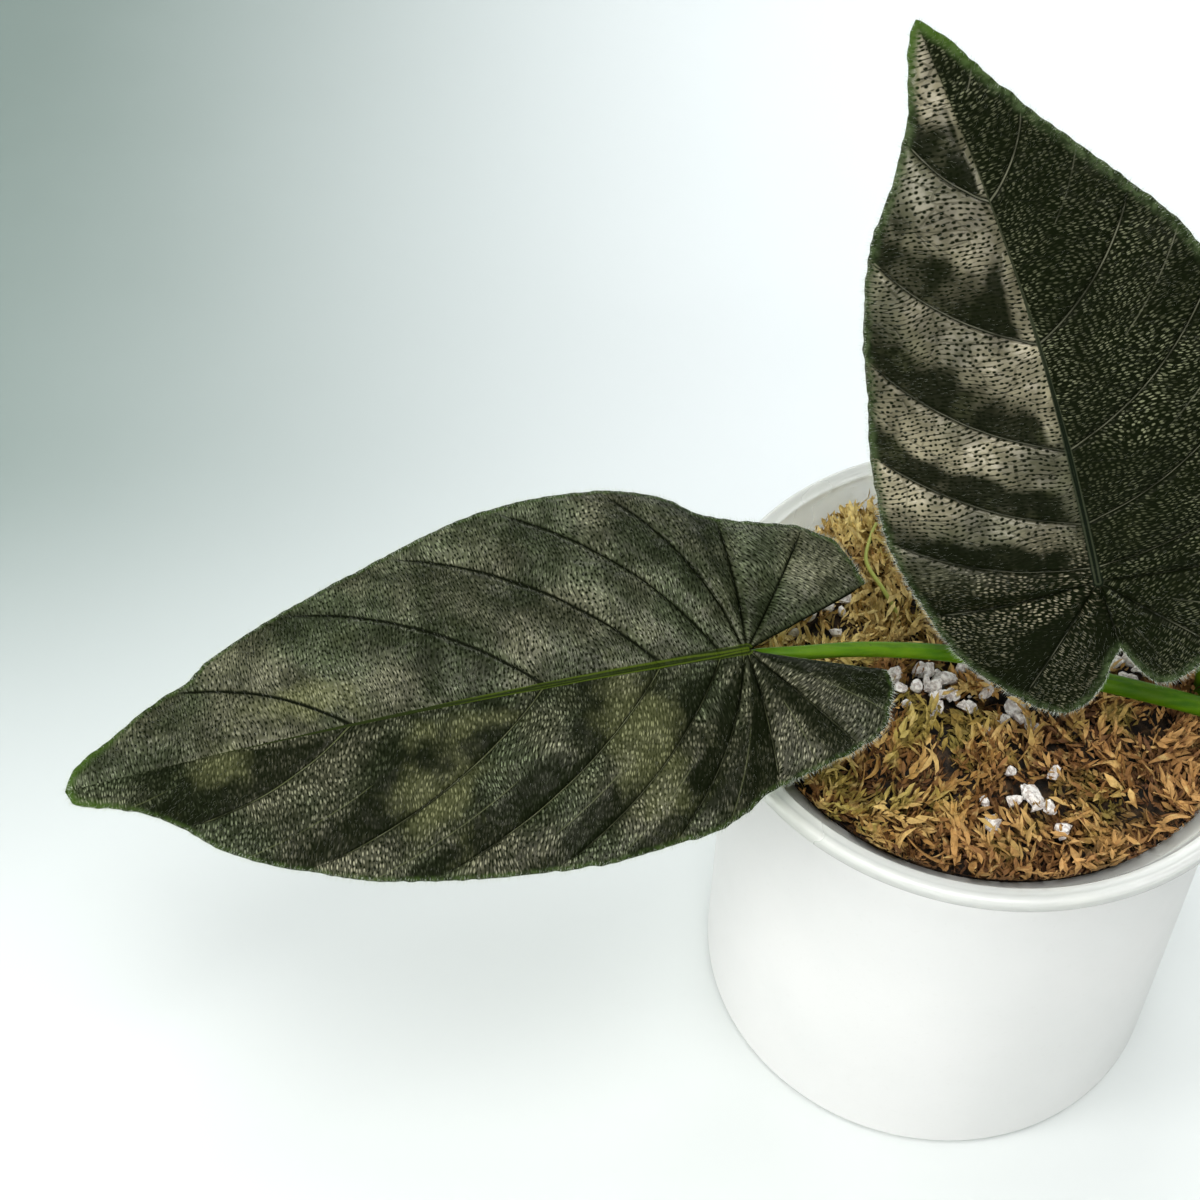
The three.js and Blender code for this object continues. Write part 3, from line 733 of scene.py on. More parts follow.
def merged(flat, triangles, uvs):
    """Joins points that lie on each other and drops triangles that then have no width."""
    keys = np.round(flat * 2000).astype(np.int64)
    _, first, same = np.unique(keys, axis=0, return_index=True, return_inverse=True)
    same = same.ravel()
    joined = same[triangles]
    good = (joined[:, 0] != joined[:, 1]) & (joined[:, 1] != joined[:, 2]) & (joined[:, 0] != joined[:, 2])
    return first, joined[good], uvs[good]


def point_normals(points, triangles):
    corners = points[triangles]
    face = np.cross(corners[:, 1] - corners[:, 0], corners[:, 2] - corners[:, 0])
    normals = np.zeros_like(points)
    for k in range(3):
        np.add.at(normals, triangles[:, k], face)
    return normals / np.linalg.norm(normals, axis=1)[:, None]


def open_edges(triangles):
    """The edges that only one triangle has, in that triangle's direction."""
    edges = np.concatenate([triangles[:, [0, 1]], triangles[:, [1, 2]], triangles[:, [2, 0]]])
    low, high = edges.min(1), edges.max(1)
    _, where, times = np.unique(low * 10**7 + high, return_index=True, return_counts=True)
    return edges[where[times == 1]]


# %% [markdown]
# ## The blade's finish
# Seen close, the upper face is covered with pits and raised cells under a millimetre wide, in rows
# across the panels between the veins. Where the face mirrors the light its flat tops are pale with
# rows of dark pits. Elsewhere only short strokes catch it. Two stretched Voronoi patterns on the
# blade's own map make both, as gloss and bump, and as highlights and sheen painted into the colour,
# paler on one half of each blade. Each panel is quilted, so the strip above a side vein turns away
# from the light; this strip is painted dark, as shade. Distances stored on the mesh draw it, the
# midrib, the veins with painted shade in their furrows and painted highlights in them, and the
# green margin.


# %% Blade finishes
row_wobble = 5.5
blade_black = colour(0.0045, 0.0065, 0.002)
# painted shade in the sunken furrows of the veins and the fine net
furrow_painted_shade = colour(0.004, 0.0055, 0.002)
olive_tones = (colour(0.034, 0.038, 0.013), colour(0.26, 0.265, 0.13))


def stored(tree, name):
    return add(tree, "ShaderNodeAttribute", attribute_name=name).outputs["Fac"]


def stretched(tree, across, along, wobble):
    """The blade's own map in cells of this size in millimetres, bent so that rows curve."""
    place = add(tree, "ShaderNodeUVMap", uv_map="cells").outputs[0]
    drift = add(tree, "ShaderNodeTexNoise", {"Vector": place, "Scale": 0.07, "Detail": 1.0})
    centred = add(tree, "ShaderNodeVectorMath", {0: drift.outputs["Color"], 1: (0.5, 0.5, 0.5)},
                  operation="SUBTRACT").outputs[0]
    bent = add(tree, "ShaderNodeVectorMath", {0: centred, 1: (wobble,) * 3, 2: place},
               operation="MULTIPLY_ADD").outputs[0]
    return add(tree, "ShaderNodeVectorMath", {0: bent, 1: (1 / along, 1 / across, 1)},
               operation="MULTIPLY").outputs[0]


def cell_pattern(tree, across, along, randomness):
    """Each cell's distance from its middle, and a random number of its own."""
    place = stretched(tree, across, along, row_wobble)
    inputs = {"Vector": place, "Scale": 1.0, "Randomness": randomness}
    made = add(tree, "ShaderNodeTexVoronoi", inputs, voronoi_dimensions="2D")
    each = add(tree, "ShaderNodeSeparateColor", {0: made.outputs["Color"]}).outputs[0]
    return made.outputs["Distance"], each


def by_half(tree, values):
    """A value or a colour that a blade has for its left and its right half."""
    left, right = values
    half = fade(tree, stored(tree, "side"), -0.3, 0.3)
    if isinstance(left, tuple):
        return blend(tree, half, right, left)
    return fade(tree, half, 0, 1, right, left)


def row_lines(tree, across, along, randomness):
    """A dark line along each row of pits, where the rows of a Voronoi pattern run."""
    place = add(tree, "ShaderNodeSeparateXYZ", {0: stretched(tree, across, along, row_wobble)}).outputs[1]
    middle = calc(tree, "SUBTRACT", place, randomness / 2 + 0.5)
    off = calc(tree, "ABSOLUTE", calc(tree, "SUBTRACT", calc(tree, "FRACT", middle), 0.5))
    return fade(tree, off, 0.2, 0.06)


def light_pattern(tree, look):
    """Painted highlights and sheen: flat tops with rows of pits between them, or short strokes."""
    # painted sheen: the flat tops are painted pale, more on one half, and less on the lobes
    smooth = fade(tree, stored(tree, "lobe"), 0, 1, 1, look["lobe_shine"])
    pitted = calc(tree, "MULTIPLY", by_half(tree, look["pitted"]), smooth)
    pit_distance, _ = cell_pattern(tree, *look["pits"])
    broken = fade(tree, spread(tree, 900, 1), 0.4, 0.58, 0.0, 0.85)
    rows = calc(tree, "MULTIPLY", row_lines(tree, *look["pits"]), broken)
    top = calc(tree, "MULTIPLY", fade(tree, pit_distance, 0.16, 0.34), calc(tree, "SUBTRACT", 1.0, rows))
    stroke_distance, stroke_luck = cell_pattern(tree, *look["strokes"])
    strength = fade(tree, stroke_luck, 0.0, 0.9, 0.1, 1.0)
    stroke = calc(tree, "MULTIPLY", fade(tree, stroke_distance, 0.4, 0.14), strength)
    # the painted highlights fade in patches, more on one half
    least = by_half(tree, look["patchy"])
    patch = fade(tree, spread(tree, 48, 3), 0.32, 0.66, least, 1.0)
    cloud = fade(tree, spread(tree, 190, 2), 0.35, 0.65, 0.5, 1.0)
    # painted shade: the quilted strip above each side vein is painted dark, more on one half
    ragged = fade(tree, spread(tree, 110, 4), 0.3, 0.7, -0.35, 0.35)
    dusk = fade(tree, calc(tree, "ADD", stored(tree, "dusk"), ragged), 0.25, 0.85)
    dusk = calc(tree, "MULTIPLY", dusk, by_half(tree, look["dusk"]))
    dusk = calc(tree, "SUBTRACT", 1.0, dusk)
    patch = calc(tree, "MULTIPLY", calc(tree, "MULTIPLY", patch, cloud), dusk)
    cells = blend(tree, pitted, stroke, top)
    return cells, calc(tree, "MULTIPLY", cells, patch)


def panel_tone(tree, look, cells, light):
    """Black-green with painted highlights on lit cells, and olive patches between some of the veins."""
    greener = fade(tree, spread(tree, 55, 2), 0.4, 0.62, 0.0, 0.8)
    lit = blend(tree, greener, by_half(tree, look["lit"]), look["lit_green"])
    tone = blend(tree, light, blade_black, lit)
    ragged = fade(tree, spread(tree, 160, 4), 0.3, 0.7, -0.35, 0.25)
    olive = fade(tree, calc(tree, "ADD", stored(tree, "olive"), ragged), 0.1, 0.95)
    return blend(tree, calc(tree, "MULTIPLY", olive, 0.8), tone, blend(tree, cells, *olive_tones))


def vein_lines(tree, look):
    """Painted shade in the furrows of the side veins and the fine net, and painted highlights in them."""
    vein, fine = stored(tree, "vein"), stored(tree, "fine")
    net_place = stretched(tree, 3.6, 6.5, 3.0)
    net = add(tree, "ShaderNodeTexVoronoi", {"Vector": net_place, "Scale": 1.0},
              voronoi_dimensions="2D", feature="DISTANCE_TO_EDGE").outputs["Distance"]
    net_line = calc(tree, "MAXIMUM", fade(tree, net, 0.05, 0.01), fade(tree, fine, 0.3, 0.1))
    groove = fade(tree, vein, look["groove_width"], 0.15)
    furrow = calc(tree, "MAXIMUM", calc(tree, "MULTIPLY", net_line, look["net"]), groove)
    cord = calc(tree, "MULTIPLY", fade(tree, vein, 0.2, 0.08), by_half(tree, look["vein_cords"]))
    thread = calc(tree, "MULTIPLY", fade(tree, fine, 0.17, 0.05), 0.6)
    pale = calc(tree, "MAXIMUM", fade(tree, vein, 0.22, 0.08), thread)
    pale = calc(tree, "MULTIPLY", pale, by_half(tree, look["pale_veins"]))
    broken = fade(tree, spread(tree, 130, 3), 0.34, 0.6, 0.15, 0.85)
    return furrow, calc(tree, "MULTIPLY", calc(tree, "MAXIMUM", pale, cord), broken)


def midrib_band(tree, look):
    """Where the midrib shows, narrower towards the tip, and its streaked green."""
    midrib, narrowing = stored(tree, "midrib"), stored(tree, "narrowing")
    reach = calc(tree, "MULTIPLY", calc(tree, "POWER", narrowing, 1.4), look["midrib_width"])
    band = fade(tree, calc(tree, "DIVIDE", midrib, reach), 1.15, 0.75)
    wander = calc(tree, "MULTIPLY", spread(tree, 45, 1), 9.0)
    lines = fade(tree, calc(tree, "SINE", calc(tree, "MULTIPLY_ADD", midrib, 8.0, wander)), -0.7, 1.0)
    near_tone = blend(tree, lines, look["midrib_dark"], look["midrib"])
    return band, blend(tree, fade(tree, narrowing, 0.75, 0.3), near_tone, look["midrib_far"])


def green_edge(tree, look, tone):
    """Where the margin's green band shows, and the tone with the band and the green tip on it."""
    margin = stored(tree, "margin")
    speckle = fade(tree, spread(tree, 800, 2), 0.38, 0.62, 0.15, 1.0)
    edge = calc(tree, "MULTIPLY", fade(tree, margin, look["edge_width"], 0.3), look["edge_share"])
    tone = blend(tree, edge, tone, blend(tree, speckle, colour(0.012, 0.02, 0.006), look["edge"]))
    tip = calc(tree, "MULTIPLY", stored(tree, "tip"), fade(tree, margin, 2.2, 0.3))
    return edge, blend(tree, calc(tree, "MULTIPLY", tip, 0.7), tone, colour(0.05, 0.1, 0.012))


def blade_upper(name, look):
    made, tree, shader = material(name)
    cells, light = light_pattern(tree, look)
    furrow, ridge = vein_lines(tree, look)
    band, rib_tone = midrib_band(tree, look)
    # painted shade in the furrows, and painted highlights along the veins
    tone = blend(tree, furrow, panel_tone(tree, look, cells, light), furrow_painted_shade)
    tone = blend(tree, ridge, tone, look["vein"])
    edge, tone = green_edge(tree, look, blend(tree, band, tone, rib_tone))
    tree.links.new(tone, shader.inputs["Base Color"])

    # only the lit cells and the ridges are glossy
    shine = calc(tree, "MULTIPLY", light, calc(tree, "SUBTRACT", 1.0, furrow))
    shine = calc(tree, "MAXIMUM", shine, calc(tree, "MULTIPLY", ridge, 0.5))
    shine = calc(tree, "MULTIPLY", shine, calc(tree, "SUBTRACT", 1.0, calc(tree, "MAXIMUM", band, edge)))
    shine = calc(tree, "MULTIPLY_ADD", shine, by_half(tree, look["shine"]), 0.02)
    tree.links.new(shine, shader.inputs["Specular IOR Level"])
    shader.inputs["Specular Tint"].default_value = look["sheen_tint"]
    shader.inputs["Roughness"].default_value = look["roughness"]
    height = calc(tree, "MULTIPLY", light, look["relief"] * mm)
    height = calc(tree, "MULTIPLY_ADD", furrow, -0.14 * mm, height)
    height = calc(tree, "MULTIPLY_ADD", ridge, 0.08 * mm, height)
    height = calc(tree, "MULTIPLY_ADD", spread(tree, 240, 2), 0.6 * mm, height)
    tree.links.new(relief(tree, height), shader.inputs["Normal"])
    return made


def blade_lower():
    made, tree, shader = material("blade_underside")
    midrib, vein = stored(tree, "midrib"), stored(tree, "vein")
    pit_distance, _ = cell_pattern(tree, 0.7, 0.9, 0.9)
    mottle = fade(tree, spread(tree, 90, 4), 0.3, 0.7)
    tone = blend(tree, mottle, colour(0.085, 0.12, 0.06), colour(0.13, 0.17, 0.085))
    tone = blend(tree, fade(tree, pit_distance, 0.4, 0.1, 0.0, 0.4), tone, colour(0.04, 0.06, 0.03))
    ridge = calc(tree, "MAXIMUM", fade(tree, vein, 0.8, 0.3), fade(tree, midrib, 1.8, 1.0))
    tone = blend(tree, calc(tree, "MULTIPLY", ridge, 0.8), tone, colour(0.19, 0.3, 0.08))
    tree.links.new(tone, shader.inputs["Base Color"])
    shader.inputs["Roughness"].default_value = 0.6
    height = calc(tree, "MULTIPLY", pit_distance, 0.08 * mm)
    tree.links.new(relief(tree, height), shader.inputs["Normal"])
    return made


# %% Blades
olive_patches = [
    # where it lies on the resting blade, and its reach along and across the midrib
    (78.4, -6.2, 9, 4.5), (22, 17, 7, 17), (58.5, 17.6, 8, 8), (51, 4.5, 9, 3), (95, 2, 6, 4),
]


def blade_frame(leaf):
    ahead = Vector(leaf["to_tip"]).normalized()
    across = Vector(leaf["upper_face"]).cross(ahead).normalized()
    turn = Matrix((ahead, across, ahead.cross(across))).transposed()
    return np.array(turn), np.array(leaf["place"])


def puckers(flat, seed):
    return np.array([noise.noise((x / pucker_size, y / pucker_size, seed)) for x, y in flat])


def store_hair(mesh, flat, margin, midrib, leaf, turn):
    """Where hairs grow on the blade, and which way they lie: outwards, and a little to the tip."""
    x = flat[:, 0]
    root = np.column_stack([np.clip(x, 0, leaf["length"]), midrib_height(leaf, x)])
    out = flat - root
    out /= np.maximum(np.linalg.norm(out, axis=1), 1e-3)[:, None]
    to_tip = soft_step(x, leaf["length"] * 0.55, leaf["length"])
    lie = np.column_stack([out[:, 0] + 0.3 + 1.2 * to_tip, out[:, 1], np.full(len(x), 0.25)]) @ turn.T
    lie /= np.linalg.norm(lie, axis=1)[:, None]
    store(mesh, "lie", np.concatenate([lie, lie]), "FLOAT_VECTOR")
    fringe = 1 - soft_step(margin, 0, 0.5)
    down = soft_step(midrib, 0.6, 2) * soft_step(margin, 0.2, 1) * (1 - 0.55 * soft_step(margin, 3, 14))
    store(mesh, "fringe", np.concatenate([fringe, fringe]))
    store(mesh, "down", np.concatenate([down, np.zeros(len(x))]))


def olive_share(flat, patches):
    share = np.zeros(len(flat))
    for x, y, reach_x, reach_y in patches:
        share += np.exp(-((flat[:, 0] - x) / reach_x) ** 2 - ((flat[:, 1] - y) / reach_y) ** 2)
    return np.clip(share, 0, 1)


def measured(leaf, flat, along, phase, lines, patches):
    """What the finish needs to know at each point, mostly distances in millimetres."""
    veins, fine_veins, margins = lines
    midrib_x = np.linspace(0, leaf["length"], 800)
    midrib_line = np.column_stack([midrib_x, midrib_height(leaf, midrib_x)])
    off_midrib = flat[:, 1] - midrib_height(leaf, flat[:, 0])
    return {
        "midrib": distance_to(flat, midrib_line),
        "vein": distance_to(flat, veins) + 0.5 * soft_step(along, 0.85, 1.0),
        "margin": distance_to(flat, margins),
        "narrowing": np.clip(1 - flat[:, 0] / leaf["length"], 0.06, 1),
        "olive": olive_share(flat, patches),
        "tip": soft_step(flat[:, 0], leaf["length"] - 16, leaf["length"]),
        "fine": distance_to(flat, fine_veins) + 2 * (1 - soft_step(along, 0.2, 0.5)),
        "side": np.clip(off_midrib / 2, -1, 1),
        "lobe": 1 - soft_step(flat[:, 0], 0, 20),
        "dusk": soft_step(phase - 0.2 * along, 0.22, 0.62) * soft_step(along, 0.02, 0.16),
    }


def both_faces(flat, lift, triangles, facts):
    """The upper face with its sunken veins, then the lower one with its raised ribs."""
    midrib, vein, margin, narrowing = (facts[key] for key in ("midrib", "vein", "margin", "narrowing"))
    deep = soft_step(midrib, 0.5, 3) * soft_step(margin, 0.3, 3)
    groove_depth = vein_depth * np.exp(-((vein / vein_width) ** 2)) * deep
    groove_depth += 0.5 * np.exp(-((midrib / 0.9) ** 2)) * soft_step(flat[:, 0], 0, 6) * np.sqrt(narrowing)
    lift = lift - groove_depth + pucker_height * puckers(flat, 3.7) * deep
    sheet = np.column_stack([flat, lift])
    normals = point_normals(sheet, triangles)
    half = blade_thickness / 2 * (0.35 + 0.65 * soft_step(margin, 0, 1.6))[:, None]
    rib_below = 1.35 * np.exp(-((midrib / 1.25) ** 2)) * soft_step(flat[:, 0], 1, 9) * narrowing
    rib_below += 0.45 * np.exp(-((vein / 0.8) ** 2)) * soft_step(margin, 0.5, 6)
    return np.vstack([sheet + normals * half, sheet - normals * (half + rib_below[:, None])])


def closed_faces(triangles, count):
    """The upper face, the lower one turned over, and the strip that joins them at the margin."""
    near, far = open_edges(triangles).T
    strip = np.vstack([np.column_stack([far, near, near + count]),
                       np.column_stack([far, near + count, far + count])])
    return np.vstack([triangles, triangles[:, [0, 2, 1]] + count, strip]), strip


def build_blade(name, leaf, patches, upper_finish, lower_finish):
    flat, lift, along, phase, *lines, triangles, uvs = blade_data(leaf)
    first, triangles, uvs = merged(flat, triangles, uvs)
    flat = flat[first]
    facts = measured(leaf, flat, along[first], phase[first], lines, patches)
    faces, strip = closed_faces(triangles, len(flat))
    turn, place = blade_frame(leaf)
    points = both_faces(flat, lift[first], triangles, facts) @ turn.T + place
    made = piece(name, points, faces.tolist(), upper_finish, lower_finish)
    mesh = made.data
    slots = np.zeros(len(faces), np.int32)
    slots[len(triangles):2 * len(triangles)] = 1
    mesh.polygons.foreach_set("material_index", slots)
    strip_uv = np.vstack([flat, flat])[strip]
    all_uv = np.concatenate([uvs, uvs[:, [0, 2, 1]], strip_uv])
    mesh.uv_layers.new(name="cells").data.foreach_set("uv", all_uv.astype(np.float32).ravel())
    for key, values in facts.items():
        store(mesh, key, np.concatenate([values, values]))
    store_hair(mesh, flat, facts["margin"], facts["midrib"], leaf, turn)
    print(f"{name}: {len(points)} points, {np.ptp(flat[:, 0]):.0f} by {np.ptp(flat[:, 1]):.0f} mm")
    return made


# %% Blade looks
underside = blade_lower()
# where a value is a pair, the first is for the left half and the second for the right one
# lit, pitted and patchy paint highlights and sheen into the colour, paler on one half
# the pale veins and cords are painted highlights, and the strip above each side vein painted shade
resting_look = {
    "pits": (0.6, 1.1, 0.7), "strokes": (0.46, 1.4, 0.9), "pitted": (0.15, 0.35), "lobe_shine": 1.0,
    "lit": (colour(0.38, 0.37, 0.23), colour(0.29, 0.29, 0.17)), "lit_green": colour(0.13, 0.18, 0.08),
    "net": 0.15, "patchy": (0.12, 0.4), "dusk": (0.85, 0.35), "pale_veins": (0.5, 0.0),
    "vein_cords": (0.0, 0.0), "groove_width": 0.6, "vein": colour(0.16, 0.18, 0.07),
    "midrib": colour(0.05, 0.075, 0.006),
    "midrib_dark": colour(0.014, 0.022, 0.004), "midrib_far": colour(0.018, 0.026, 0.006),
    "midrib_width": 1.15, "edge": colour(0.05, 0.085, 0.02), "edge_width": 1.2, "edge_share": 0.6,
    "shine": (1.0, 0.9), "sheen_tint": colour(1.0, 0.94, 0.82), "roughness": 0.28, "relief": 0.12,
}
upright_look = {
    "pits": (0.8, 1.25, 0.6), "strokes": (0.4, 1.15, 0.8), "pitted": (1.0, 0.0), "lobe_shine": 0.0,
    "lit": (colour(0.28, 0.25, 0.15), colour(0.21, 0.22, 0.12)), "lit_green": colour(0.11, 0.115, 0.06),
    "net": 0.35, "patchy": (0.45, 0.35), "dusk": (0.96, 0.3), "pale_veins": (0.0, 0.7),
    "vein_cords": (0.5, 0.0), "groove_width": 0.75, "vein": colour(0.2, 0.2, 0.13),
    "midrib": colour(0.03, 0.036, 0.02),
    "midrib_dark": colour(0.005, 0.008, 0.004), "midrib_far": colour(0.03, 0.034, 0.018),
    "midrib_width": 1.0, "edge": colour(0.055, 0.08, 0.032), "edge_width": 2.2, "edge_share": 0.85,
    "shine": (1.0, 0.35), "sheen_tint": colour(1.0, 0.92, 0.84), "roughness": 0.3, "relief": 0.06,
}
resting_finish = blade_upper("blade_resting", resting_look)
upright_finish = blade_upper("blade_upright", upright_look)
blades = {
    "resting": build_blade("blade_of_resting_leaf", resting_leaf, olive_patches, resting_finish, underside),
    "upright": build_blade("blade_of_upright_leaf", upright_leaf, [], upright_finish, underside),
}
for name, blade in blades.items():
    dress(blade, "leaf", f"leaf_{name}")

# %% [markdown]
# ## Short hairs
# The real blade is softly hairy: a pale fringe stands out along its margin, and finer hairs lie on
# its face and on the petioles. Each hair is a three-sided cone. Geometry Nodes scatter the cones on
# the finished surface and turn each to the direction that the surface stores, and a little aside at
# random. The result is made a plain mesh, because loose instances are lost on export.


# %% Geometry Nodes helpers
def node_group(name, sockets):
    group = bpy.data.node_groups.new(name, "GeometryNodeTree")
    group.interface.new_socket("Geometry", in_out="INPUT", socket_type="NodeSocketGeometry")
    for label, kind, value in sockets:
        socket = group.interface.new_socket(label, in_out="INPUT", socket_type=f"NodeSocket{kind}")
        if value is not None:
            socket.default_value = value
    group.interface.new_socket("Geometry", in_out="OUTPUT", socket_type="NodeSocketGeometry")
    return group, add(group, "NodeGroupInput").outputs


def baked(source, group, name, values):
    """Runs a node group on an object and returns its result as a new plain mesh object."""
    modifier = source.modifiers.new("made", "NODES")
    modifier.node_group = group
    for socket in group.interface.items_tree:
        if socket.item_type == "SOCKET" and socket.in_out == "INPUT" and socket.name in values:
            modifier[socket.identifier] = values[socket.name]
    graph = bpy.context.evaluated_depsgraph_get()
    mesh = bpy.data.meshes.new_from_object(source.evaluated_get(graph), depsgraph=graph)
    source.modifiers.remove(modifier)
    mesh.name = name
    made = bpy.data.objects.new(name, mesh)
    bpy.context.scene.collection.objects.link(made)
    return made


def named(group, name, kind="FLOAT"):
    """What a surface keeps under this name."""
    return add(group, "GeometryNodeInputNamedAttribute", {"Name": name}, data_type=kind).outputs[0]


def chance(group, low, high, seed):
    """A random number for each point."""
    inputs = {2: low, 3: high, "Seed": seed}
    return add(group, "FunctionNodeRandomValue", inputs, data_type="FLOAT").outputs[1]


def chance_vector(group, low, high, seed):
    """Three random numbers for each point."""
    inputs = {0: low, 1: high, "Seed": seed}
    return add(group, "FunctionNodeRandomValue", inputs, data_type="FLOAT_VECTOR").outputs[0]


def finish_group(group, instances, finish):
    """Each tree ends with real meshes instead of instances, and with their material."""
    real = add(group, "GeometryNodeRealizeInstances", {0: instances})
    painted = add(group, "GeometryNodeSetMaterial", {0: real.outputs[0], "Material": finish})
    add(group, "NodeGroupOutput", {0: painted.outputs[0]})


def hair_group():
    group, given = node_group("scattered_hairs", [
        ("Density", "Float", 1.0), ("Length", "Float", 1.0), ("Thickness", "Float", 1.0),
        ("Wildness", "Float", 0.3), ("Seed", "Int", 1), ("Where", "String", "fringe"),
        ("Material", "Material", None),
    ])
    lie = named(group, "lie", "FLOAT_VECTOR")
    amount = calc(group, "MULTIPLY", named(group, given["Where"]), given["Density"])
    scatter = add(group, "GeometryNodeDistributePointsOnFaces",
                  {"Mesh": given["Geometry"], "Density": amount, "Seed": given["Seed"]})
    cone = add(group, "GeometryNodeMeshCone", {"Vertices": 3, "Side Segments": 1, "Fill Segments": 1,
                                               "Radius Top": 0.0, "Radius Bottom": 1.0, "Depth": 1.0})
    swing = chance_vector(group, (-1, -1, -1), (1, 1, 1), given["Seed"])
    heading = add(group, "ShaderNodeVectorMath", {0: swing, "Scale": given["Wildness"]}, operation="SCALE")
    heading = add(group, "ShaderNodeVectorMath", {0: heading.outputs[0], 1: lie}).outputs[0]
    turn = add(group, "FunctionNodeAlignRotationToVector", {"Vector": heading}, axis="Z").outputs[0]
    reach = calc(group, "MULTIPLY", chance(group, 0.55, 1.1, given["Seed"]), given["Length"])
    size = add(group, "ShaderNodeCombineXYZ",
               {0: given["Thickness"], 1: given["Thickness"], 2: reach}).outputs[0]
    grown = add(group, "GeometryNodeInstanceOnPoints",
                {"Points": scatter.outputs[0], "Instance": cone.outputs[0], "Rotation": turn, "Scale": size})
    finish_group(group, grown.outputs[0], given["Material"])
    return group


def hair_tone(name, dark, bright):
    made, tree, shader = material(name)
    tree.links.new(blend(tree, spread(tree, 700), dark, bright), shader.inputs["Base Color"])
    shader.inputs["Roughness"].default_value = 0.4
    return made


# %% Hairs
pale_hair = hair_tone("pale_hair", colour(0.42, 0.47, 0.36), colour(0.66, 0.7, 0.6))
grey_hair = hair_tone("grey_hair", colour(0.06, 0.065, 0.045), colour(0.2, 0.21, 0.16))
green_hair = hair_tone("green_hair", colour(0.14, 0.27, 0.02), colour(0.34, 0.46, 0.1))
hairs = hair_group()


def grow(source, name, finish, where, density, length, thickness, wildness, seed):
    """density is in hairs for each square millimetre"""
    return baked(source, hairs, name, {
        "Density": density / mm**2, "Length": length * mm, "Thickness": thickness * mm,
        "Wildness": wildness, "Seed": seed, "Where": where, "Material": finish,
    })


for name, blade in blades.items():
    dress(grow(blade, f"fringe_of_{name}_leaf", pale_hair, "fringe", 14.0, 1.2, 0.02, 0.4, 3), "leaf")
    dress(grow(blade, f"down_of_{name}_leaf", grey_hair, "down", 1.3, 0.95, 0.02, 0.35, 4), "leaf")
for name, stem in petioles.items():
    dress(grow(stem, f"down_of_{name}_petiole", green_hair, "down", 5.0, 0.5, 0.016, 0.35, 5), "petiole")

# %% [markdown]
# ## The moss
# Dried sphagnum is a heap of leafy strands with black gaps between them. A body painted dark, as
# moss in shadow, fills the pot, and on it Geometry Nodes scatter ten leafy strands, of pointed scale
# leaves along a bent axis, and eight flat ribbons, each modelled once. They lie in three layers, and
# the lowest is painted darker, as shade. Neighbours lie nearly the same way, as combed strands do,
# because a soft noise sets their heading. Each strand keeps a random shade, and the finish turns it
# into tan, straw, rust or olive. The straw at the back left is painted paler: partly its own colour,
# partly painted light.

# %% Moss values
moss_edge = 101.2
moss_mound = 2.4
moss_gap_depth = 2.6
moss_radius = shoulder_radius - inner_wall
body_radius = moss_radius - 2.6
ground_radius = moss_radius - 1.4
strand_reach = moss_radius - 1.1
grain_radius = 1.9
grain_spacing = 1.55
perlite_clusters = [
    ("perlite_left", -11.4, -6.4, 7), ("perlite_middle", 3.9, -11.4, 3), ("perlite_right", 28, 0.5, 6),
    ("perlite_front", 4, -31.5, 3), ("perlite_back", 16, 30, 5), ("perlite_side", -34, 14, 4),
]


def moss_height(x, y):
    r = math.hypot(x, y)
    mound = moss_mound * (1 - (r / mouth_radius) ** 2)
    lumps = 0.7 * math.sin(0.21 * x + 1.3) * math.cos(0.17 * y - 0.4)
    lumps += 0.5 * math.sin(0.43 * x - 0.35 * y) + 0.35 * math.cos(0.61 * y + 0.3 * x + 2)
    return moss_edge + mound + lumps * min(1, (mouth_radius - r) / 8)


def moss_disc(radius, rings, sides, drop, rough):
    """A round sheet that follows the moss, this far below it and this rough."""
    points = [(0.0, 0.0, moss_height(0, 0) - drop)]
    for ring in range(1, rings + 1):
        for k in range(sides):
            turn, r = 2 * math.pi * k / sides, radius * ring / rings
            x, y = r * math.cos(turn), r * math.sin(turn)
            z = moss_height(x, y) - drop + rough * noise.noise((x / 3.1, y / 3.1, 5.0))
            points.append((x, y, z))
    faces = [(0, 1 + k, 1 + (k + 1) % sides) for k in range(sides)]
    for ring in range(rings - 1):
        low, high = 1 + ring * sides, 1 + (ring + 1) * sides
        for k in range(sides):
            after = (k + 1) % sides
            faces.append((low + k, high + k, high + after, low + after))
    return points, faces


# %% Moss finishes
moss_steps = [
    (0.05, (0.03, 0.011, 0.002)), (0.3, (0.13, 0.052, 0.009)), (0.5, (0.3, 0.14, 0.028)),
    (0.68, (0.46, 0.26, 0.06)), (0.85, (0.72, 0.5, 0.17)), (1.0, (0.42, 0.34, 0.035)),
]


def ramped(tree, share, steps):
    """Runs through a few tones as the share grows."""
    ramp = add(tree, "ShaderNodeValToRGB", {0: share})
    stops = ramp.color_ramp.elements
    while len(stops) < len(steps):
        stops.new(0.5)
    for stop, (at, tint) in zip(stops, steps):
        stop.position = at
        stop.color = colour(*tint)
    return ramp.outputs[0]


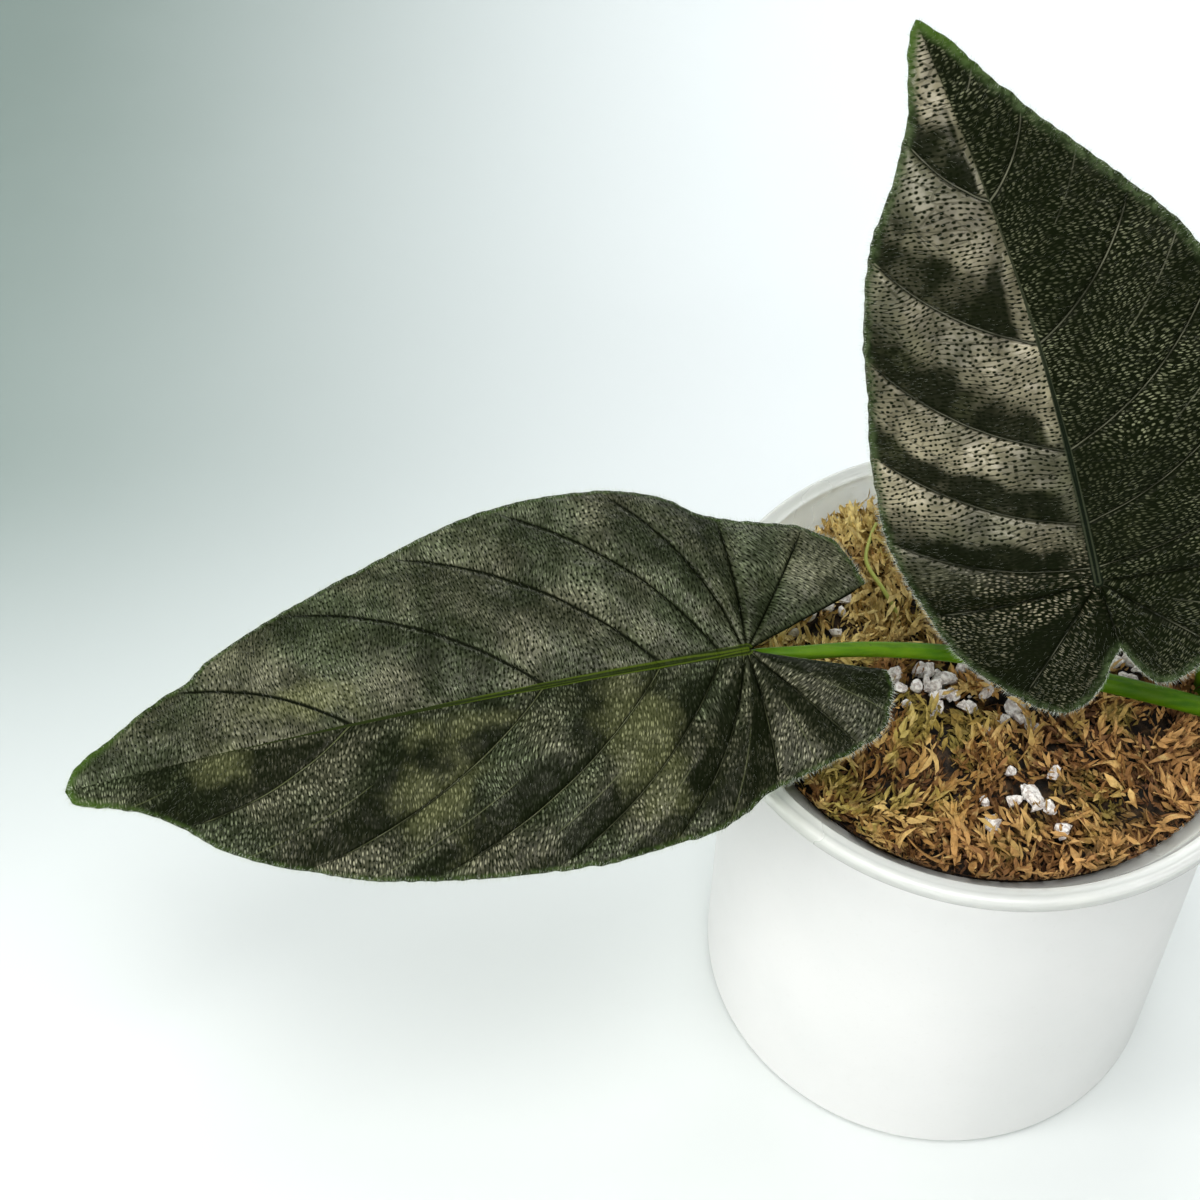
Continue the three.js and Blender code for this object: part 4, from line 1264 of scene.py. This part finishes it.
def moss_tones(name, dark, bright):
    made, tree, shader = material(name)
    place = add(tree, "ShaderNodeTexCoord").outputs["Object"]
    axes = add(tree, "ShaderNodeSeparateXYZ", {0: place})
    shade = stored(tree, "shade")
    fibre = fade(tree, spread(tree, 900, 3), 0.3, 0.7)
    patch = spread(tree, 38, 2)
    hue = spread(tree, 75, 2)
    warm = calc(tree, "MULTIPLY_ADD", axes.outputs["X"], 6.0, hue)
    warm = calc(tree, "MULTIPLY_ADD", axes.outputs["Y"], -6.0, warm)
    mix = calc(tree, "MULTIPLY_ADD", shade, 0.75, calc(tree, "MULTIPLY", patch, 0.3))
    olive = fade(tree, spread(tree, 90, 2), 0.52, 0.6, 0.0, 0.6)
    mossy = blend(tree, olive, ramped(tree, mix, moss_steps), colour(0.34, 0.3, 0.05))
    # back-left straw: partly its own colour, partly painted light where the upright leaf shades it
    pale = blend(tree, fade(tree, shade, 0.1, 0.8), colour(0.45, 0.27, 0.05), colour(1.0, 0.8, 0.32))
    red = blend(tree, fade(tree, shade, 0.1, 0.9), colour(0.09, 0.028, 0.006), colour(0.5, 0.25, 0.08))
    straw = blend(tree, fade(tree, warm, 0.42, 0.2, 0.0, 0.85), mossy, pale)
    rusty = blend(tree, fade(tree, warm, 0.5, 0.85, 0.0, 0.75), straw, red)
    tone = blend(tree, calc(tree, "MULTIPLY", fibre, 0.3), rusty, colour(*dark))
    tone = blend(tree, fade(tree, spread(tree, 420, 2), 0.6, 0.75, 0.0, 0.5), tone, colour(*bright))
    tree.links.new(tone, shader.inputs["Base Color"])
    shader.inputs["Roughness"].default_value = 0.75
    height = calc(tree, "MULTIPLY", fibre, 0.12 * mm)
    tree.links.new(relief(tree, height), shader.inputs["Normal"])
    return made


def moss_shadow():
    made, tree, shader = material("moss_in_shadow")
    crumbs = fade(tree, spread(tree, 420, 5), 0.4, 0.72)
    tone = blend(tree, crumbs, colour(0.006, 0.004, 0.002), colour(0.09, 0.05, 0.02))
    tree.links.new(tone, shader.inputs["Base Color"])
    shader.inputs["Roughness"].default_value = 0.9
    height = calc(tree, "MULTIPLY", crumbs, 0.6 * mm)
    tree.links.new(relief(tree, height), shader.inputs["Normal"])
    return made


# %% Moss body
def moss_body():
    top_points, top_faces = moss_disc(body_radius, 30, 120, moss_gap_depth, 1.6)
    wall = [(inner_neck_radius - inner_wall - 0.4, shoulder_z + 1.0),
            (inner_neck_radius - inner_wall - 0.4, shoulder_z - 1.0),
            (inner_base_radius - inner_wall - 1.9, inner_floor + inner_wall + 0.4)]
    sides, points, faces = 120, list(top_points), list(top_faces)
    low = len(points) - sides
    for radius, z in wall:
        at = len(points)
        for k in range(sides):
            turn = 2 * math.pi * k / sides
            below = min(z, points[low + k][2] - 0.2)
            points.append((radius * math.cos(turn), radius * math.sin(turn), below))
        faces += [(low + k, at + k, at + (k + 1) % sides, low + (k + 1) % sides) for k in range(sides)]
        low = at
    faces.append(tuple(reversed(range(low, low + sides))))
    return points, faces


moss_core = piece("moss_body", *moss_body(), moss_shadow())
dress(moss_core, "moss", "moss_bed")


# %% Moss strands
def scale_leaf(random, base, heading, pitch, roll, length, width):
    """One crumpled, cupped scale leaf, closed all round: ten points and sixteen triangles."""
    level = math.cos(pitch)
    ahead = np.array([math.cos(heading) * level, math.sin(heading) * level, math.sin(pitch)])
    side = np.array([-math.sin(heading), math.cos(heading), 0])
    out = np.cross(ahead, side)
    side, out = side * math.cos(roll) + out * math.sin(roll), out * math.cos(roll) - side * math.sin(roll)
    curl = random.uniform(-0.25, 0.5) * length
    points = [base, base + ahead * length + out * curl]
    for share, wide in ((0.33, 1.0), (0.7, 0.8)):
        middle = base + ahead * length * share + out * curl * share**2
        for reach in (0.5, -0.5):
            crumple = out * width * random.uniform(-0.05, 0.5)
            points.append(middle + side * reach * width * wide * random.uniform(0.7, 1.2) + crumple)
        points += [middle + out * 0.09, middle - out * 0.09]
    faces = []
    for near, far, order in ((4, 8, 1), (5, 9, -1)):
        half = [(0, near, 2), (0, 3, near), (2, near, far, 6), (near, 3, 7, far), (1, 6, far), (1, far, 7)]
        faces += [face[::order] for face in half]
    return points, faces


def leafy_strand(random):
    length, leaves = random.uniform(6, 12), int(random.integers(11, 16))
    bend, arch = random.uniform(-1.2, 1.2), random.uniform(0.4, 1.8)
    points, faces = [], []
    for i in range(leaves):
        s = i / (leaves - 1)
        turn = bend * (s - 0.5)
        sag = 1 - (2 * s - 1) ** 2
        base = np.array([length * (s - 0.5), bend * length * 0.5 * (s - 0.5) ** 2, arch * sag])
        splay = (1 if i % 2 else -1) * random.uniform(0.1, 0.75)
        size = 1.1 + 3.1 * random.random() ** 1.6
        made = scale_leaf(random, base, turn + splay, random.uniform(-0.4, 0.9), random.uniform(-1.4, 1.4),
                          size, (0.35 + 0.2 * size) * random.uniform(0.7, 1.3))
        join(points, faces, *made)
    return points, faces


def ribbon_strand(random):
    length, width = random.uniform(6, 13), random.uniform(0.6, 1.6)
    bend, arch, twist = random.uniform(-1, 1), random.uniform(0.5, 2.5), random.uniform(-2, 2)
    stations, points, faces = 9, [], []
    for i in range(stations):
        s = i / (stations - 1)
        from_middle = (2 * s - 1) ** 2
        middle = np.array([length * (s - 0.5), bend * length * 0.3 * from_middle, arch * (1 - from_middle)])
        roll = twist * s + random.uniform(-0.5, 0.5)
        side = np.array([0, math.cos(roll), math.sin(roll)])
        out = np.array([0, -math.sin(roll), math.cos(roll)])
        half = width / 2 * (0.25 + math.sin(math.pi * s)) * random.uniform(0.7, 1.15)
        points += [middle + side * half, middle + out * 0.12, middle - side * half, middle - out * 0.12]
    for i in range(stations - 1):
        for k in range(4):
            a, b = 4 * i + k, 4 * i + (k + 1) % 4
            faces.append((a, a + 4, b + 4, b))
    faces += [(0, 1, 2, 3), tuple(4 * (stations - 1) + k for k in (3, 2, 1, 0))]
    return points, faces


def strand_kit(name, maker, count, seed):
    """A collection of strand shapes outside the scene, for the node group to pick from."""
    random = np.random.default_rng(seed)
    kit = bpy.data.collections.new(name)
    for i in range(count):
        points, faces = maker(random)
        mesh = bpy.data.meshes.new(f"{name}_{i}")
        mesh.from_pydata((np.array(points) * mm).tolist(), [], faces)
        kit.objects.link(bpy.data.objects.new(mesh.name, mesh))
    return kit


def strand_group():
    group, given = node_group("scattered_strands", [
        ("Strands", "Collection", None), ("Density", "Float", 1.0), ("Sink", "Float", 0.0),
        ("Rise", "Float", 0.0), ("Tilt", "Float", 0.4), ("Combing", "Float", 30.0), ("Seed", "Int", 1),
        ("Darkest", "Float", 0.0), ("Palest", "Float", 1.0), ("Material", "Material", None),
    ])
    amount = calc(group, "MULTIPLY", named(group, "room"), given["Density"])
    scatter = add(group, "GeometryNodeDistributePointsOnFaces",
                  {"Mesh": given["Geometry"], "Density": amount, "Seed": given["Seed"]})
    place = add(group, "GeometryNodeInputPosition").outputs[0]
    flow = add(group, "ShaderNodeTexNoise", {"Vector": place, "Scale": given["Combing"], "Detail": 1.0})
    lean = calc(group, "MULTIPLY", given["Tilt"], -1.0)
    low = add(group, "ShaderNodeCombineXYZ", {0: lean, 1: lean, 2: -0.6}).outputs[0]
    high = add(group, "ShaderNodeCombineXYZ", {0: given["Tilt"], 1: given["Tilt"], 2: 0.6}).outputs[0]
    swing = chance_vector(group, low, high, given["Seed"])
    heading = add(group, "ShaderNodeCombineXYZ", {2: calc(group, "MULTIPLY", flow.outputs["Fac"], 14.0)})
    turn = add(group, "ShaderNodeVectorMath", {0: swing, 1: heading.outputs[0]}).outputs[0]
    spin = add(group, "FunctionNodeEulerToRotation", {0: turn}).outputs[0]
    size = chance(group, 0.65, 1.1, given["Seed"])
    height = chance(group, given["Sink"], given["Rise"], given["Seed"])
    lift = add(group, "ShaderNodeCombineXYZ", {2: height}).outputs[0]
    raised = add(group, "GeometryNodeSetPosition", {"Geometry": scatter.outputs[0], "Offset": lift})
    kit = add(group, "GeometryNodeCollectionInfo",
              {"Collection": given["Strands"], "Separate Children": True, "Reset Children": True})
    laid = add(group, "GeometryNodeInstanceOnPoints",
               {"Points": raised.outputs[0], "Instance": kit.outputs[0], "Pick Instance": True,
                "Rotation": spin, "Scale": size})
    shade = chance(group, given["Darkest"], given["Palest"], given["Seed"])
    marked = add(group, "GeometryNodeStoreNamedAttribute",
                 {"Geometry": laid.outputs[0], "Name": "shade", "Value": shade},
                 data_type="FLOAT", domain="INSTANCE")
    finish_group(group, marked.outputs[0], given["Material"])
    return group


def keep_inside(made, limit):
    """Pulls points that reach past the pot's mouth back inside it."""
    mesh = made.data
    points = np.zeros(len(mesh.vertices) * 3, np.float32)
    mesh.vertices.foreach_get("co", points)
    points = points.reshape(-1, 3)
    reach = np.hypot(points[:, 0], points[:, 1])
    room = limit * mm - np.clip(shoulder_z + 3 - points[:, 2] / mm, 0, 4) * 0.8 * mm
    share = np.where(reach > room, room / np.maximum(reach, 1e-9), 1.0)
    points[:, :2] *= share[:, None]
    mesh.vertices.foreach_set("co", points.ravel())
    mesh.update()


def store_room(ground):
    """Strands lie in clumps and along the edge, and keep clear of the perlite."""
    share = []
    for vertex in ground.data.vertices:
        x, y = vertex.co.x / mm, vertex.co.y / mm
        gap = min(math.hypot(x - cx, y - cy) - 1.1 * grain_spacing * math.sqrt(grains)
                  for _, cx, cy, grains in perlite_clusters)
        near_edge = max(0, (math.hypot(x, y) - ground_radius) / 3 + 1)
        clump = noise.noise((x / 4.2, y / 4.2, 9.0)) + near_edge
        share.append(min(1, max(0, gap / 3)) * min(1, max(0, 1.8 * (clump + 0.38))))
    store(ground.data, "room", share)


# %% Moss layers
ground = piece("moss_ground", *moss_disc(ground_radius, 24, 80, 0.6, 1.4))
store_room(ground)
strands = strand_group()
moss_finish = moss_tones("dried_moss", (0.08, 0.036, 0.01), (0.74, 0.56, 0.22))
leafy_kit = strand_kit("leafy", leafy_strand, 10, 21)
ribbon_kit = strand_kit("ribbon", ribbon_strand, 8, 22)
# name, strands, how many, sink and rise in mm, tilt, combing, seed, darkest and palest shade
layers = [
    # the low layer's darker shades are painted shade under the top strands
    ("moss_leafy_low", leafy_kit, 1200, -2.6, -0.8, 0.7, 34.0, 5, 0.0, 0.45),
    ("moss_leafy_top", leafy_kit, 1450, -0.8, 1.0, 0.7, 34.0, 6, 0.05, 1.0),
    ("moss_ribbons", ribbon_kit, 480, -1.4, 1.0, 0.6, 34.0, 8, 0.1, 0.95),
]
ground_area = math.pi * (ground_radius * mm) ** 2
for name, kit, count, sink, rise, tilt, combing, seed, darkest, palest in layers:
    layer = baked(ground, strands, name, {
        "Strands": kit, "Density": count / ground_area, "Sink": sink * mm, "Rise": rise * mm,
        "Tilt": tilt, "Combing": combing, "Seed": seed, "Darkest": darkest, "Palest": palest,
        "Material": moss_finish,
    })
    keep_inside(layer, strand_reach)
    dress(layer, "moss")
bpy.data.objects.remove(ground)
for kit in (leafy_kit, ribbon_kit):
    for shape in list(kit.objects):
        bpy.data.objects.remove(shape)
    bpy.data.collections.remove(kit)

# %% [markdown]
# ## Perlite
# Perlite is popped volcanic glass: light, white and rough, with small pits. Each grain is a ball
# that random planes cut flat, roughened by noise, stretched and turned at random, and shaded flat.
# The grains lie about where their solids do, and finer crumbs lie between them.

# %% Perlite finish and shapes
golden_angle = math.pi * (3 - math.sqrt(5))
grain_cuts = 9


def perlite_white():
    made, tree, shader = material("perlite_white")
    pits = fade(tree, spread(tree, 1300, 3), 0.35, 0.6)
    stain = fade(tree, spread(tree, 260, 3), 0.55, 0.75)
    tone = blend(tree, pits, colour(0.5, 0.44, 0.4), colour(0.9, 0.86, 0.8))
    tone = blend(tree, calc(tree, "MULTIPLY", stain, 0.6), tone, colour(0.5, 0.36, 0.28))
    tree.links.new(tone, shader.inputs["Base Color"])
    shader.inputs["Roughness"].default_value = 0.85
    shader.inputs["Subsurface Weight"].default_value = 0.2
    shader.inputs["Subsurface Radius"].default_value = (1.0, 0.9, 0.8)
    shader.inputs["Subsurface Scale"].default_value = 0.7 * mm
    tree.links.new(relief(tree, calc(tree, "MULTIPLY", pits, 0.16 * mm)), shader.inputs["Normal"])
    return made


def same_draws(seed):
    """The random numbers that also set the solids, so that the grains match them."""
    state = seed
    while True:
        state = (state * 1664525 + 1013904223) % 4294967296
        yield state / 4294967296


def ball(rounds):
    shape = bmesh.new()
    bmesh.ops.create_icosphere(shape, subdivisions=rounds, radius=1)
    points = np.array([v.co[:] for v in shape.verts])
    faces = [tuple(v.index for v in face.verts) for face in shape.faces]
    shape.free()
    return points, faces


ball_points, ball_faces = ball(3)
crumb_ball, crumb_faces = ball(2)


def grain(shape, radius, scale, turn, middle, seed):
    """A ball whose sides are cut flat at random, as on a broken stone, and then roughened."""
    random = np.random.default_rng(int(abs(seed) * 1000))
    cuts = random.normal(size=(grain_cuts, 3))
    cuts /= np.linalg.norm(cuts, axis=1)[:, None]
    facing = np.maximum(shape @ cuts.T, 0.05)
    reach = np.minimum(1.25, (random.uniform(0.5, 0.9, grain_cuts) / facing).min(axis=1))
    rough = np.array([noise.noise(Vector(p) * 3.5 + Vector((0, seed, 0))) for p in shape])
    points = shape * (reach + 0.06 * rough)[:, None] * radius * np.array(scale)
    return points @ np.array(Euler(turn).to_matrix()).T + middle


def crumb_points(x, y, grains, random):
    """Loose crumbs and single grains on the moss round a cluster."""
    points, faces = [], []
    for _ in range(3 * grains):
        turn, out = random.uniform(0, 2 * math.pi), 1.5 + 7.5 * random.random() ** 0.7
        gx, gy = x + 1.2 * out * math.cos(turn), y + 0.8 * out * math.sin(turn)
        radius = random.uniform(0.5, 1.7)
        scale, spin = random.uniform(0.7, 1.25, 3), random.uniform(0, math.pi, 3)
        middle = np.array([gx, gy, moss_height(gx, gy) + 0.2 + 0.5 * radius])
        join(points, faces, grain(crumb_ball, radius, scale, spin, middle, gx - 2.3 * gy), crumb_faces)
    return points, faces


def cluster_points(x, y, grains):
    draws = same_draws(grains * 37 + math.floor(x + 0.5))
    points, faces = [], []
    for i in range(grains):
        out = grain_spacing * math.sqrt(i)
        gx = x + out * math.cos(i * golden_angle)
        gy = y + 0.8 * out * math.sin(i * golden_angle)
        radius = grain_radius * (0.85 + 0.3 * next(draws))
        scale = (0.75 + 0.6 * next(draws), 0.75 + 0.5 * next(draws), 0.7 + 0.2 * next(draws))
        turn = (math.pi * next(draws), 0.0, math.pi * next(draws))
        middle = np.array([gx + 0.3 * (gx - x), gy + 0.3 * (gy - y), moss_height(gx, gy) + 1.2])
        radius *= 1.05 if i % 3 == 0 else 0.7
        join(points, faces, grain(ball_points, radius, scale, turn, middle, gx + 3.1 * gy), ball_faces)
    return points, faces


# %% Perlite clusters
perlite_finish = perlite_white()
for node_name, x, y, grains in perlite_clusters:
    cluster = piece(f"{node_name}_grains", *cluster_points(x, y, grains), perlite_finish)
    cluster.data.shade_flat()
    dress(cluster, "perlite", node_name)
crumb_random = np.random.default_rng(31)
points, faces = [], []
for _, x, y, grains in perlite_clusters:
    join(points, faces, *crumb_points(x, y, grains, crumb_random))
loose = piece("perlite_crumbs", points, faces, perlite_finish)
loose.data.shade_flat()
dress(loose, "perlite")

# %% [markdown]
# ## Corm and sprout
# Under the moss both petioles grow from a corm, a short swollen stem with ring scars where old
# leaves stood, and with roots below. One thin green moss stem lies over the heap at the back left.

# %% Corm and sprout values
corm_place = (36.6, -7.8)
corm_top = 85.6
corm_radius = 6
corm_length = 17
root_length = 22
root_radius = 0.75
root_count = 6
sprout_radius = 0.5
sprout_route = [
    (-16.6, 10.4, 99), (-17, 11.6, 104.4), (-19.4, 15.6, 107), (-22.2, 22.4, 107.6), (-20.6, 30, 106.6),
    (-18.8, 35.4, 104.6),
]


# %% Corm and sprout
def corm_brown():
    made, tree, shader = material("corm_brown")
    axes = add(tree, "ShaderNodeSeparateXYZ", {0: add(tree, "ShaderNodeTexCoord").outputs["Object"]})
    rings = calc(tree, "SINE", calc(tree, "MULTIPLY", axes.outputs["Z"], 2800.0))
    bark = fade(tree, spread(tree, 300, 4), 0.3, 0.7)
    tone = blend(tree, bark, colour(0.05, 0.028, 0.014), colour(0.2, 0.12, 0.06))
    tone = blend(tree, fade(tree, rings, 0.6, 1.0, 0.0, 0.6), tone, colour(0.025, 0.014, 0.008))
    tree.links.new(tone, shader.inputs["Base Color"])
    shader.inputs["Roughness"].default_value = 0.85
    height = calc(tree, "MULTIPLY_ADD", bark, 0.2 * mm, calc(tree, "MULTIPLY", rings, -0.1 * mm))
    tree.links.new(relief(tree, height), shader.inputs["Normal"])
    return made


def sprout_green():
    made, tree, shader = material("sprout_green")
    tone = blend(tree, spread(tree, 350, 3), colour(0.3, 0.36, 0.05), colour(0.46, 0.46, 0.1))
    tree.links.new(tone, shader.inputs["Base Color"])
    shader.inputs["Roughness"].default_value = 0.6
    tree.links.new(relief(tree, calc(tree, "MULTIPLY", spread(tree, 900), 0.1 * mm)), shader.inputs["Normal"])
    return made


def corm_points():
    bottom = corm_top - corm_length
    profile = [(2.6, bottom + 0.8), (5.2, bottom + 4.5), (corm_radius, bottom + 8.5), (5.6, bottom + 12.5),
               (4.8, corm_top - 0.6), (4, corm_top)]
    smooth = spline([(r, 0, z) for r, z in profile], 6)
    shape = [(0, bottom)] + [(r + 0.12 * math.sin(2.8 * z), z) for r, _, z in smooth] + [(0, corm_top)]
    points, faces = turned(shape, 48)
    points = [(x + corm_place[0], y + corm_place[1], z) for x, y, z in points]
    root = [(1.2, bottom + 5), (3.6, bottom + 0.6), (4.6, bottom - 8), (4, bottom - 15),
            (4.8, bottom - root_length)]
    for i in range(root_count):
        turn = 2 * math.pi * i / root_count
        dx, dy = math.cos(turn), math.sin(turn)
        route = [(corm_place[0] + r * dx, corm_place[1] + r * dy, z) for r, z in root]
        join(points, faces, *stalk(spline(route, 6), lambda s: root_radius * (1.25 - 0.5 * s), 10))
    return points, faces


corm = piece("corm_with_roots", *corm_points(), corm_brown())
dress(corm, "corm", "corm")
sprout_shape = stalk(spline(sprout_route, 8), lambda s: sprout_radius * (1 - 0.4 * s), 12)
sprout = piece("moss_sprout", *sprout_shape, sprout_green())
dress(sprout, "sprout", "sprout")
